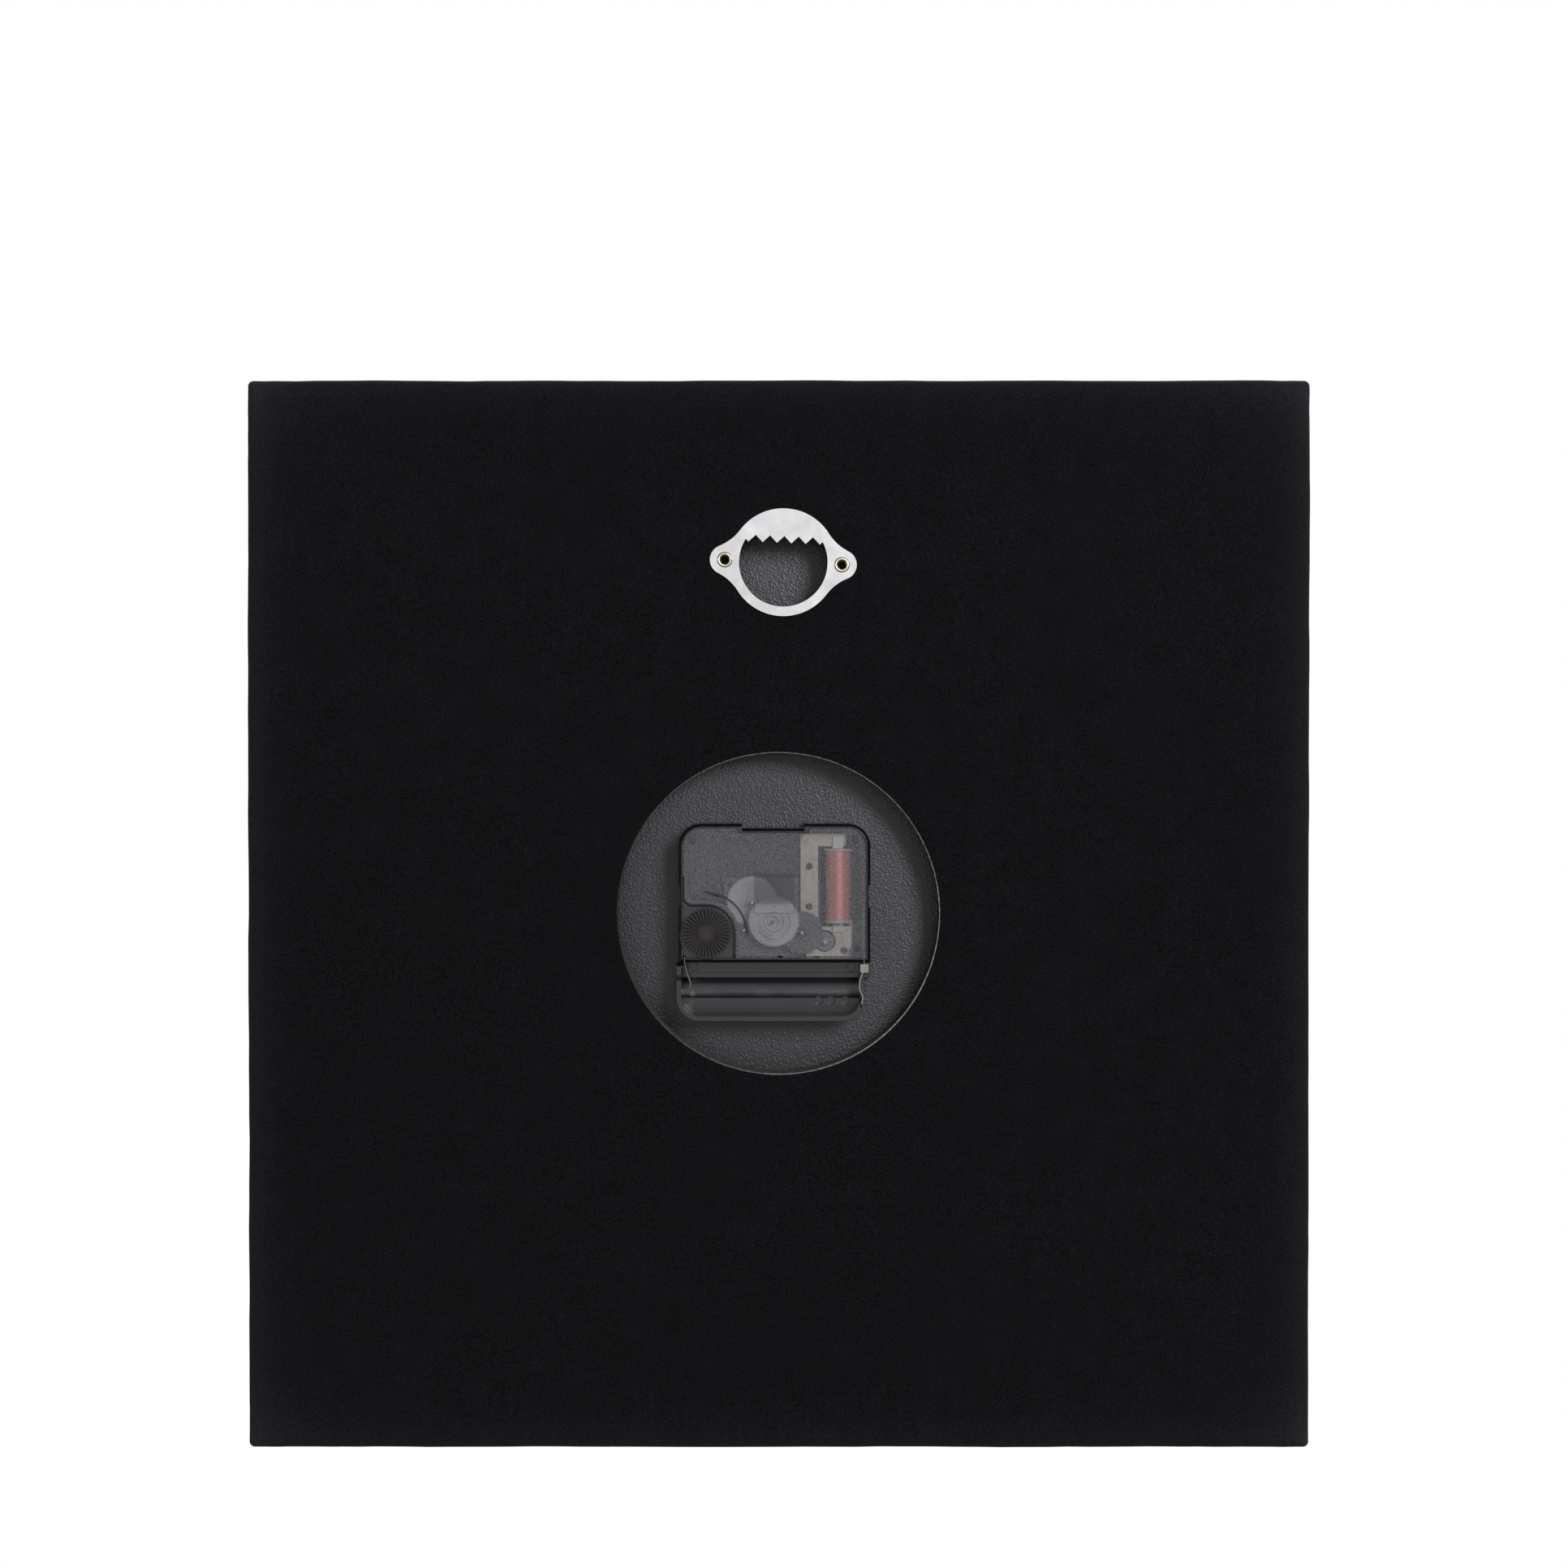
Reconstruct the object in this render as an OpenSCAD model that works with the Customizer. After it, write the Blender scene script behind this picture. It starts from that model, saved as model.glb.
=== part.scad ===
// Square wall clock with a felt-covered back, a quartz movement in a round recess
// and a sawtooth ring hanger.
//
// The dial faces -Y, the wall is towards +Y and +Z is up. The origin is the hanging
// point: the root of the hanger's middle notch, on the hanger's wall side.
// Plan shapes are drawn in X and Z, as they look from the dial side.

/* [Case] */
// Width of the nearly square panel
panel_width = 300.8; // [290:0.2:320]
// Height of the panel
panel_height = 302.6; // [290:0.2:320]
// Thickness of the fibreboard core
core_thickness = 18; // [17.5:0.1:22]
// Thickness of the felt over the back and the sides
felt_thickness = 0.8; // [0.5:0.1:1.2]
// Thickness of the pale backing sheet under the felt
backing_thickness = 0.3; // [0.2:0.1:0.5]
// How far the backing sheet shows past the felt around the recess
backing_reveal = 0.35; // [0:0.05:0.6]
// Thickness of the grained sheet that closes the front of the recess
liner_thickness = 0.4; // [0.3:0.1:0.8]
// Thickness of the dial panel
dial_thickness = 3; // [2:0.1:3.4]
// Thickness of the leatherette over the dial panel
skin_thickness = 0.6; // [0.4:0.1:0.8]
// Rounding of the panel's back edges
back_edge_radius = 4; // [2:0.5:6]
// Rounding of the dial's front edges
front_edge_radius = 1.5; // [0.8:0.1:2.4]
// Rounding of the panel's four corners
corner_radius = 2; // [1.5:0.5:5]
// Diameter of the round recess for the movement
recess_diameter = 91.5; // [88:0.5:110]
// Recess centre above the panel's centre
recess_offset = 0.5; // [-2:0.1:2]
// Shaft centre from the recess's centre, along X
shaft_offset_x = 1.4; // [-2:0.1:2]
// Shaft centre from the recess's centre, along Z
shaft_offset_z = -2.5; // [-3:0.1:3]

/* [Hanger] */
// Hanger's ring centre from the recess's centre, along X
hanger_offset_x = -1.3; // [-3:0.1:3]
// Hanger's ring centre above the recess's centre
hanger_height = 99.2; // [90:0.1:110]
// Tilt of the hanger as it was riveted on, in degrees
hanger_tilt = 2.5; // [-4:0.5:4]
// Thickness of the hanger's plate
hanger_thickness = 1; // [0.6:0.1:1.5]
// Outer radius of the ring
ring_outer_radius = 15.2; // [15:0.1:16]
// Inner radius of the ring
ring_inner_radius = 12.5; // [12:0.1:12.8]
// Distance between the two ears' centres
ear_spacing = 33.1; // [32:0.1:36]
// Radius of each ear
ear_radius = 4.2; // [3.6:0.1:4.6]
// Distance from one notch to the next
tooth_pitch = 4.04; // [3.6:0.02:4.2]
// Depth of the notches
tooth_depth = 2; // [1.5:0.1:2.4]
// Notch roots above the ring's centre
notch_height = 7.4; // [7:0.1:8]
// Diameter of the hole in the panel behind the ring
pocket_diameter = 28; // [26:0.5:30]
// Length of the hollow rivets below the hanger
rivet_length = 9; // [5:0.5:12]

/* [Movement] */
// Width of the movement's housing
housing_width = 55; // [55:0.5:57]
// Height of the movement's housing
housing_height = 56; // [56:0.5:58]
// Depth of the movement from its mounting face to the back of its cover
movement_depth = 16; // [16:0.1:17]
// Wall thickness of the housing
wall = 1.2; // [1:0.1:1.4]
// Setting knob's diameter
knob_diameter = 14.2; // [12:0.1:14.6]
// Ridges around the setting knob
knob_ridges = 36; // [24:1:60]
// Diameter of the threaded bush
bush_diameter = 8; // [7:0.1:9]

/* [Gear train] */
// Teeth of the rotor's pinion
rotor_teeth = 8; // [8:1:8]
// Teeth of the intermediate wheel
intermediate_teeth = 48; // [48:1:48]
// Teeth of the intermediate pinion
intermediate_pinion_teeth = 12; // [12:1:12]
// Teeth of the seconds wheel and of the third wheel
seconds_teeth = 60; // [60:1:60]
// Teeth of the seconds pinion and of the third pinion
train_pinion_teeth = 8; // [8:1:8]
// Teeth of the centre wheel
centre_teeth = 64; // [64:1:64]
// Teeth of the cannon pinion
cannon_teeth = 12; // [12:1:12]
// Teeth of the motion wheel
motion_teeth = 36; // [36:1:36]
// Teeth of the motion pinion
motion_pinion_teeth = 10; // [10:1:10]
// Teeth of the hour wheel
hour_teeth = 40; // [40:1:40]
// Teeth of the setting pinion
setting_teeth = 21; // [21:1:21]

/* [Hands and dial] */
// Hour shown at rest
shown_hour = 10; // [0:1:11]
// Minute shown at rest
shown_minute = 10; // [0:1:59]
// Second shown at rest
shown_second = 30; // [0:1:59]
// Hour hand's length from the shaft
hour_hand_length = 70; // [50:1:85]
// Minute hand's length from the shaft
minute_hand_length = 102; // [80:1:110]
// Second hand's length from the shaft
second_hand_length = 112; // [80:1:118]
// Radius of the circle through the hour markers' centres
marker_radius = 118; // [110:1:122]
// Length of a plain hour marker
marker_length = 20; // [12:1:24]
// Width of a plain hour marker
marker_width = 4; // [2:0.5:8]
// Thickness of the markers and the numerals
marker_thickness = 1.5; // [0.8:0.1:2.5]
// Height of the numerals
numeral_height = 22; // [16:1:24]

/* [Hidden] */
$fn = 96;
eps = 0.01;

// ---- where things are, in X and Z ----
function turned(p, angle) = [p.x * cos(angle) - p.y * sin(angle), p.x * sin(angle) + p.y * cos(angle)];
function polar(radius, angle) = [radius * cos(angle), radius * sin(angle)];
function heading(p) = atan2(p.y, p.x);

hanging_notch = turned([0, notch_height], hanger_tilt);
recess_centre = -[hanger_offset_x, hanger_height] - hanging_notch;
panel_centre = recess_centre - [0, recess_offset];
ring_centre = recess_centre + [hanger_offset_x, hanger_height];
shaft = recess_centre + [shaft_offset_x, shaft_offset_z];

// ---- levels along Y, from the wall towards the dial ----
y_felt = -hanger_thickness;
y_backing = y_felt - felt_thickness;
y_core = y_backing - backing_thickness;
y_liner = y_core - core_thickness;
y_dial = y_liner - liner_thickness;
y_skin = y_dial - dial_thickness;
y_front = y_skin - skin_thickness;
rubber_thickness = 0.8;
y_mount = y_liner + rubber_thickness;

// ---- levels inside the movement, measured back from its mounting face ----
base_level = 1.2;
board_level = 1.5;
plate_level = 5.6;
plate_top = 6.2;
stator_level = 7.4;
stator_top = 8.2;
deck_level = 12.2;
deck_top = 13.2;
cover_level = movement_depth - 1.2;
rim_level = movement_depth - 0.4;
boss_level = cover_level - 1.9;
pivot_end = cover_level - 0.5;
dial_front = y_front - y_mount;
washer_thickness = 0.5;
nut_thickness = 2.2;
bush_end = dial_front - 3.7;

// ---- clearances and pin sizes ----
running = 0.05;
cover_gap = 0.1;
pin = 0.4;
seconds_pin = 0.5;
minute_pin = 1.75;
minute_neck = 1.2;
hour_pin = 2.5;
setting_pin = 1.2;
hole_radius = bush_diameter / 2 + 0.1;
rivet_radius = 1.6;
rivet_bore = 1.2;

// ---- the movement's plan, measured from the shaft ----
housing_centre = [0.1, -0.2];
housing_low = housing_centre - [housing_width, housing_height] / 2;
housing_high = housing_centre + [housing_width, housing_height] / 2;
bay_top = -11.6;
works_bottom = bay_top + wall;
// the works' half steps in on the knob's side, the battery's half on the other side
works_step = 0.6;
battery_step = 1.4;
groove = [-16.6, -15.2];
top_notch = [-8.7, 9];
top_notch_depth = 1.3;
top_corner = 6.5;
bottom_corner = 6.6;
knob_at = [19.2, -3.4];
knob_radius = knob_diameter / 2;
knob_well_radius = 8.4;
seconds_distance = 8.64;
rotor_distance = 7;
third_distance = 8.2;
motion_distance = 9;
motion_module = 2 * motion_distance / (cannon_teeth + motion_teeth);
setting_distance = motion_module * (motion_teeth + setting_teeth) / 2;
train_heading = 201.8;
third_at = polar(third_distance, 41);
intermediate_at = polar(seconds_distance, train_heading);
rotor_at = polar(seconds_distance + rotor_distance, train_heading);
// the motion wheel meshes with both the cannon pinion and the setting pinion
knob_distance = norm(knob_at);
motion_swing = acos((motion_distance ^ 2 + knob_distance ^ 2 - setting_distance ^ 2)
    / (2 * motion_distance * knob_distance));
motion_at = polar(motion_distance, heading(knob_at) - motion_swing);
coil_x = -18.3;
coil_level = 8.6;
coil_bottom = 0.2;
coil_top = 19.8;
stator_posts = [[-10.05, 4], [-20, -8.5], [-10.1, 15.5]];
plate_posts = [[-12, 9], [12.5, 10.5], [-12, -8.6], [0, -8.6]];
cover_posts = [[-23.2, 23], [23.2, 23], [-23.8, -7.6]];
pivots = [third_at, intermediate_at, rotor_at];

// ================= shared shapes =================

// A plan shape drawn in X and Z, between two levels along Y
module slab(y_low, y_high)
    translate([0, y_high, 0]) rotate([90, 0, 0]) linear_extrude(y_high - y_low) children();

// A plan shape about a point of the movement, between two of its levels
module layer(at, low, high)
    translate([shaft.x + at.x, 0, shaft.y + at.y]) slab(y_mount + low, y_mount + high) children();

module post(at, radius, low, high) layer(at, low, high) circle(radius);

// Corner radii are given for the lower and the upper pair of corners
module rounded_plan(width, height, low_r, high_r) {
    for (side = [-1, 1]) {
        translate([side * (width / 2 - low_r), low_r - height / 2]) circle(low_r);
        translate([side * (width / 2 - high_r), height / 2 - high_r]) circle(high_r);
    }
    translate([low_r - width / 2, -height / 2]) square([width - 2 * low_r, height / 2]);
    translate([-width / 2, low_r - height / 2]) square([width, height - low_r - high_r]);
    translate([high_r - width / 2, 0]) square([width - 2 * high_r, height / 2]);
}

module span(x_low, x_high, z_low, z_high) translate([x_low, z_low]) square([x_high - x_low, z_high - z_low]);

// A bar's side view, from depth 0 to depth, with its two far corners rounded
module soft_profile(width, depth, edge) {
    translate([-width / 2, 0]) square([width, depth - edge]);
    translate([edge - width / 2, 0]) square([width - 2 * edge, depth]);
    for (side = [-1, 1]) translate([side * (width / 2 - edge), depth - edge]) circle(edge);
}

// A block on the panel's centre, smaller than the panel by `inset` all round, with one side's edges rounded
module soft_block(inset, y_low, y_high, edge, corner, rounded_back = true) {
    depth = y_high - y_low;
    width = panel_width - 2 * inset;
    height = panel_height - 2 * inset;
    translate([panel_centre.x, rounded_back ? y_low : y_high, panel_centre.y])
        mirror([0, rounded_back ? 0 : 1, 0])
            intersection() {
                slab(0, depth) rounded_plan(width, height, corner, corner);
                translate([0, 0, -height / 2]) linear_extrude(height) soft_profile(width, depth, edge);
                rotate([0, 90, 0]) translate([0, 0, -width / 2]) linear_extrude(width)
                    soft_profile(height, depth, edge);
            }
}

// A round hole or disc in X and Z at a point of the panel
module drum(at, radius, y_low, y_high) translate([at.x, 0, at.y]) slab(y_low, y_high) circle(radius);

// Steps that repeat around a circle
module around(count, first = 0) for (i = [0:count - 1]) rotate(first + i * 360 / count) children();

// A polygonal hole or boss whose flats touch a circle of this radius
module flatted(radius, sides = 12) circle(radius / cos(180 / sides), $fn = sides);

// A curved stroke of even width, centred on a circle, from one angle to a larger one
function arc_points(radius, from, to, steps) =
    [for (i = [0:steps]) polar(radius, from + (to - from) * i / steps)];
module arc_stroke(radius, from, to, width, steps = 24)
    polygon(concat(arc_points(radius + width / 2, from, to, steps),
        arc_points(radius - width / 2, to, from, steps)));

// A straight stroke from a to b
module line_stroke(a, b, width)
    translate(a) rotate(heading(b - a)) translate([0, -width / 2]) square([norm(b - a), width]);

// A bent metal strip seen on edge: each point is on its middle line
function mitre(points, i) = let(
        before = points[max(i, 1)] - points[max(i, 1) - 1],
        after = points[min(i + 1, len(points) - 1)] - points[min(i, len(points) - 2)],
        turn = (heading(after) - heading(before)) / 2,
        side = heading(before) + turn + 90)
    polar(1 / cos(turn), side);
module strip(points, thickness)
    polygon(concat(
        [for (i = [0:len(points) - 1]) points[i] + mitre(points, i) * thickness / 2],
        [for (i = [len(points) - 1:-1:0]) points[i] - mitre(points, i) * thickness / 2]));

// ================= gears =================
// Teeth are involute at the root and the tip, with straight flanks between.
pressure_angle = 25;
pinion_addendum = 0.9;
wheel_addendum = 0.7;
dedendum = 1.1;
tooth_relief = 0.05;

function involute(angle) = tan(angle) * 180 / PI - angle;
function tooth_half_angle(teeth, pitch_r, radius) =
    90 / teeth * (1 - 2 * tooth_relief) + involute(pressure_angle)
    - involute(acos(min(1, pitch_r * cos(pressure_angle) / radius)));

// One gear's outline: module size, teeth, addendum and the angle of its first tooth
module gear(size, teeth, addendum, phase = 0) {
    pitch_r = size * teeth / 2;
    base_r = pitch_r * cos(pressure_angle);
    root_r = pitch_r - dedendum * size;
    low_r = max(base_r, root_r);
    tip_r = pitch_r + addendum * size;
    low = tooth_half_angle(teeth, pitch_r, low_r);
    tip = tooth_half_angle(teeth, pitch_r, tip_r);
    flank = [[low_r, low], [tip_r, tip]];
    side = root_r < base_r ? concat([[root_r, low]], flank) : flank;
    last = len(side) - 1;
    polygon([for (k = [0:teeth - 1], s = [-1, 1], i = [0:last])
        let(p = side[s < 0 ? i : last - i]) polar(p[0], phase + k * 360 / teeth + s * p[1])]);
}
module pinion(size, teeth, phase) gear(size, teeth, pinion_addendum, phase);
module wheel(size, teeth, phase) gear(size, teeth, wheel_addendum, phase);

// The angle that puts a gear in mesh with one at angle `phase`, seen along `direction`
function meshed(direction, phase, teeth, other_teeth) =
    direction + 180 - 180 / other_teeth + (direction - phase) * teeth / other_teeth;

function size_for(distance, teeth, other_teeth) = 2 * distance / (teeth + other_teeth);
rotor_size = size_for(rotor_distance, rotor_teeth, intermediate_teeth);
seconds_size = size_for(seconds_distance, intermediate_pinion_teeth, seconds_teeth);
third_size = size_for(third_distance, train_pinion_teeth, seconds_teeth);
centre_size = size_for(third_distance, train_pinion_teeth, centre_teeth);
hour_size = size_for(motion_distance, motion_pinion_teeth, hour_teeth);

intermediate_pinion_phase = meshed(train_heading, 0, seconds_teeth, intermediate_pinion_teeth);
rotor_phase = meshed(train_heading, 0, intermediate_teeth, rotor_teeth);
third_phase = meshed(heading(third_at), 0, train_pinion_teeth, seconds_teeth);
centre_phase = meshed(heading(third_at) + 180, 0, train_pinion_teeth, centre_teeth);
motion_phase = meshed(heading(motion_at), 0, cannon_teeth, motion_teeth);
hour_phase = meshed(heading(motion_at) + 180, 0, motion_pinion_teeth, hour_teeth);
setting_phase = meshed(heading(knob_at - motion_at), motion_phase, motion_teeth, setting_teeth);

// ================= case =================
module core_board() color("burlywood") difference() {
    soft_block(felt_thickness, y_liner, y_core,
        back_edge_radius - felt_thickness, corner_radius - felt_thickness);
    drum(recess_centre, recess_diameter / 2, y_liner - 1, 1);
    drum(ring_centre, pocket_diameter / 2, y_liner - 1, 1);
    rivet_holes(y_core - rivet_length - 1);
}

module rivet_holes(y_low)
    for (side = [-1, 1])
        drum(ring_centre + turned([side * ear_spacing / 2, 0], hanger_tilt), rivet_radius, y_low, 1);

module felt_cover() color([0.075, 0.075, 0.08]) difference() {
    soft_block(0, y_liner, y_felt, back_edge_radius, corner_radius);
    soft_block(felt_thickness, y_liner - 1, y_backing,
        back_edge_radius - felt_thickness, corner_radius - felt_thickness);
    drum(recess_centre, recess_diameter / 2, y_liner - 1, 1);
    drum(ring_centre, pocket_diameter / 2, y_liner - 1, 1);
    rivet_holes(y_liner - 1);
}

module felt_backing() color([0.75, 0.74, 0.7]) difference() {
    translate([panel_centre.x, 0, panel_centre.y]) slab(y_core, y_backing)
        square([panel_width, panel_height] - 2 * [back_edge_radius, back_edge_radius], center = true);
    drum(recess_centre, recess_diameter / 2 - backing_reveal, y_liner - 1, 1);
    drum(ring_centre, pocket_diameter / 2, y_liner - 1, 1);
    rivet_holes(y_liner - 1);
}

module rear_liner() color([0.3, 0.3, 0.32]) difference() {
    translate([panel_centre.x, 0, panel_centre.y]) slab(y_dial, y_liner)
        rounded_plan(panel_width - 1, panel_height - 1, corner_radius, corner_radius);
    drum(shaft, hole_radius, y_dial - 1, y_liner + 1);
}

module dial_panel() color("tan") difference() {
    soft_block(skin_thickness, y_skin, y_dial, front_edge_radius - skin_thickness + 0.2,
        corner_radius - skin_thickness, rounded_back = false);
    drum(shaft, hole_radius, y_skin - 1, y_dial + 1);
}

module dial_skin() color([0.1, 0.1, 0.105]) difference() {
    soft_block(0, y_front, y_dial, front_edge_radius, corner_radius, rounded_back = false);
    soft_block(skin_thickness, y_skin, y_dial + 1, front_edge_radius - skin_thickness + 0.2,
        corner_radius - skin_thickness, rounded_back = false);
    drum(shaft, hole_radius, y_front - 1, y_dial + 1);
}

// ================= dial furniture =================
module on_dial(low, high) translate([shaft.x, 0, shaft.y]) slab(y_front - high, y_front - low) children();

// A bevelled bar: a full outline with a narrower step on top
module marker_bar(length, width) {
    on_dial(0, marker_thickness * 0.6) square_at_radius(length, width);
    on_dial(marker_thickness * 0.6, marker_thickness) square_at_radius(length - 0.8, width - 0.8);
}
module square_at_radius(length, width)
    for (hour = [1:11]) if (hour % 3 != 0)
        rotate(-30 * hour) translate([0, marker_radius]) square([width, length], center = true);

module hour_markers() color("silver") marker_bar(marker_length, marker_width);

stroke = 3.2;
module digit_one() {
    translate([-stroke / 2, -numeral_height / 2]) square([stroke, numeral_height]);
    line_stroke([0, numeral_height / 2 - stroke / 2], [-5, numeral_height / 2 - 5], stroke);
}
module digit_two() {
    bowl = 5.2;
    top = numeral_height / 2 - bowl - stroke / 2;
    foot = -numeral_height / 2 + stroke / 2;
    translate([0, top]) arc_stroke(bowl, -40, 170, stroke);
    line_stroke(polar(bowl, -40) + [0, top], [-5.4, foot], stroke);
    line_stroke([-6.4, foot], [6.6, foot], stroke);
}
module digit_three() {
    bowl = (numeral_height - stroke) / 4;
    translate([0, bowl]) arc_stroke(bowl, -90, 150, stroke);
    translate([0, -bowl]) arc_stroke(bowl, -150, 86, stroke);
    line_stroke([-2.6, 0], [1.5, 0], stroke);
}
module digit_six() {
    bowl = 5.6;
    low = -numeral_height / 2 + bowl + stroke / 2;
    translate([0, low]) difference() {
        circle(bowl + stroke / 2);
        circle(bowl - stroke / 2);
    }
    translate([9.46, low]) arc_stroke(15, 122, 180, stroke);
}
module numerals() color("silver") on_dial(0, marker_thickness) {
    translate([-6.5, marker_radius]) digit_one();
    translate([5.5, marker_radius]) digit_two();
    translate([marker_radius, 0]) digit_three();
    translate([0, -marker_radius]) digit_six();
    translate([-marker_radius, 0]) rotate(180) digit_six();
}

dot_radius = 0.8;
module minute_dots() color("silver") on_dial(0, 0.4)
    for (minute = [0:59]) if (minute % 5 != 0)
        rotate(-6 * minute) translate([0, marker_radius + marker_length / 2 - dot_radius])
            circle(dot_radius, $fn = 24);

// ================= hanger =================
module at_hanger(low, high)
    translate([ring_centre.x, 0, ring_centre.y]) rotate([0, -hanger_tilt, 0]) slab(low, high) children();

// Concave fillets between the ring and both sides of one ear
fillet_radius = 14;
fillet_centre = let(
        a = ring_outer_radius + fillet_radius,
        b = ear_radius + fillet_radius,
        c = ear_spacing / 2)
    polar(a, -acos((a ^ 2 + c ^ 2 - b ^ 2) / (2 * a * c)));
module ear_webs() {
    ear = [ear_spacing / 2, 0];
    from = heading(-fillet_centre);
    to = heading(ear - fillet_centre);
    steps = 20;
    // each arc's tangent points are left out, so that the web crosses the ring and the ear cleanly
    lower = [for (i = [1:steps - 1]) fillet_centre + polar(fillet_radius, from + (to - from) * i / steps)];
    upper = [for (i = [len(lower) - 1:-1:0]) [lower[i].x, -lower[i].y]];
    polygon(concat([[0, 0]], lower, [ear], upper));
}

module sawtooth() intersection() {
    circle(ring_inner_radius + 0.5);
    polygon(concat(
        [for (i = [-6:6]) [i * tooth_pitch / 2, notch_height - (i % 2 == 0 ? 0 : tooth_depth)]],
        [[ring_outer_radius, ring_outer_radius], [-ring_outer_radius, ring_outer_radius]]));
}

module hanger_outline() {
    difference() {
        union() {
            circle(ring_outer_radius);
            for (side = [0, 1]) mirror([side, 0]) {
                translate([ear_spacing / 2, 0]) circle(ear_radius);
                ear_webs();
            }
        }
        circle(ring_inner_radius);
        for (side = [-1, 1]) translate([side * ear_spacing / 2, 0]) circle(rivet_radius);
    }
    sawtooth();
}
module hanger_plate() color([0.85, 0.85, 0.87]) at_hanger(-hanger_thickness, 0) hanger_outline();

// A hollow rivet: a rolled flange on the ear and a tube into the board
module rivet() rotate([-90, 0, 0]) rotate_extrude() {
    flange = 2.2;
    roll = (flange - rivet_bore) / 2;
    translate([rivet_bore, -rivet_length - hanger_thickness])
        square([rivet_radius - rivet_bore, rivet_length + hanger_thickness + 0.1]);
    intersection() {
        translate([rivet_bore + roll, 0]) circle(roll);
        translate([0, 0]) square([flange, roll]);
    }
}
module hanger_rivets() color("goldenrod")
    for (side = [-1, 1])
        let(at = ring_centre + turned([side * ear_spacing / 2, 0], hanger_tilt))
            translate([at.x, 0, at.y]) rivet();

// ================= movement: housing and cover =================
module housing_part(x_low, x_high, inset)
    translate([(x_low + x_high) / 2, housing_centre.y])
        rounded_plan(x_high - x_low - 2 * inset, housing_height - 2 * inset, bottom_corner - inset,
            top_corner - inset);
module housing_plan(inset = 0) {
    far = housing_height;
    difference() {
        intersection() {
            housing_part(housing_low.x, housing_high.x - works_step, inset);
            span(-far, far, groove[0] + inset, far);
        }
        span(top_notch[0] - inset, top_notch[1] + inset, housing_high.y - top_notch_depth - inset, far);
    }
    intersection() {
        housing_part(housing_low.x + battery_step, housing_high.x, inset);
        span(-far, far, -far, bay_top - inset);
    }
}

// The well around the setting knob: a circle, opened out towards the housing's side.
// The inset moves its whole outline inwards, its concave corner's arc included.
well_side = 6.3;
well_fillet = 2.6;
module knob_well(inset = 0) {
    edge = knob_well_radius - inset;
    side = well_side + inset;
    far = housing_width;
    centre = [well_side - well_fillet, knob_well_radius + well_fillet];
    steps = 10;
    translate(knob_at) {
        circle(edge);
        translate([-edge, -far]) square([far, far]);
        translate([0, -far]) square([far, far + edge]);
        translate([side, 0]) square([far, 16 - inset]);
        polygon(concat([[side + 1, edge - 1]],
            [for (i = [1:steps - 1]) centre + polar(well_fillet + inset, -90 * i / steps)]));
    }
}

module works_plan(inset = 0) difference() {
    intersection() {
        housing_plan(wall + inset);
        span(-housing_width, housing_width, works_bottom + inset, housing_height);
    }
    knob_well(-inset);
}

module bay_plan() intersection() {
    housing_plan(wall + 0.2);
    span(-housing_width, housing_width, -housing_height, bay_top);
}

// The knob's well has a flat floor with a narrow, deep moat along the cover's edge
moat_width = 0.8;
moat_level = 9;
module well_side_only() intersection() {
    housing_plan(wall / 2);
    span(0, housing_width, bay_top + 0.3, 20);
    children();
}
module well_part(low, high, outer, inner)
    layer([0, 0], low, high) well_side_only() difference() {
        knob_well(outer);
        knob_well(inner);
    }

// Cuts that slope the works' rim outwards and leave a narrow flat lip beside the cover
rim_slope = 0.85;
module slope_section()
    polygon([[-rim_slope - 1, rim_level + 1], [1, rim_level - rim_slope - 1], [1, rim_level + 1]]);
module at_plan(x, z) translate([shaft.x + x, y_mount, shaft.y + z]) children();
module slope_above(x_low, x_high, z)
    at_plan(x_high, z) rotate([0, -90, 0]) linear_extrude(x_high - x_low) slope_section();
module slope_below(x_low, x_high, z)
    at_plan(x_low, z) rotate([0, 90, 0]) linear_extrude(x_high - x_low) slope_section();
module rim_slopes() {
    right = housing_high.x - works_step;
    top = housing_high.y;
    bend = top - top_corner;
    at_plan(right, bay_top) linear_extrude(bend - bay_top) slope_section();
    at_plan(housing_low.x, bay_top) mirror([1, 0, 0]) linear_extrude(bend - bay_top) slope_section();
    slope_above(housing_low.x + top_corner, top_notch[0], top);
    slope_above(top_notch[0], top_notch[1], top - top_notch_depth);
    slope_above(top_notch[1], right - top_corner, top);
    slope_below(housing_low.x - 1, right + 1, bay_top);
    for (side = [-1, 1]) {
        x = side < 0 ? housing_low.x + top_corner : right - top_corner;
        intersection() {
            at_plan(x, bend) rotate([-90, 0, 0]) rotate_extrude() translate([top_corner, 0]) slope_section();
            layer([x, bend], rim_level - 2, rim_level + 2) span(side < 0 ? -10 : 0, side < 0 ? 0 : 10, 0, 10);
        }
    }
}

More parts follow.
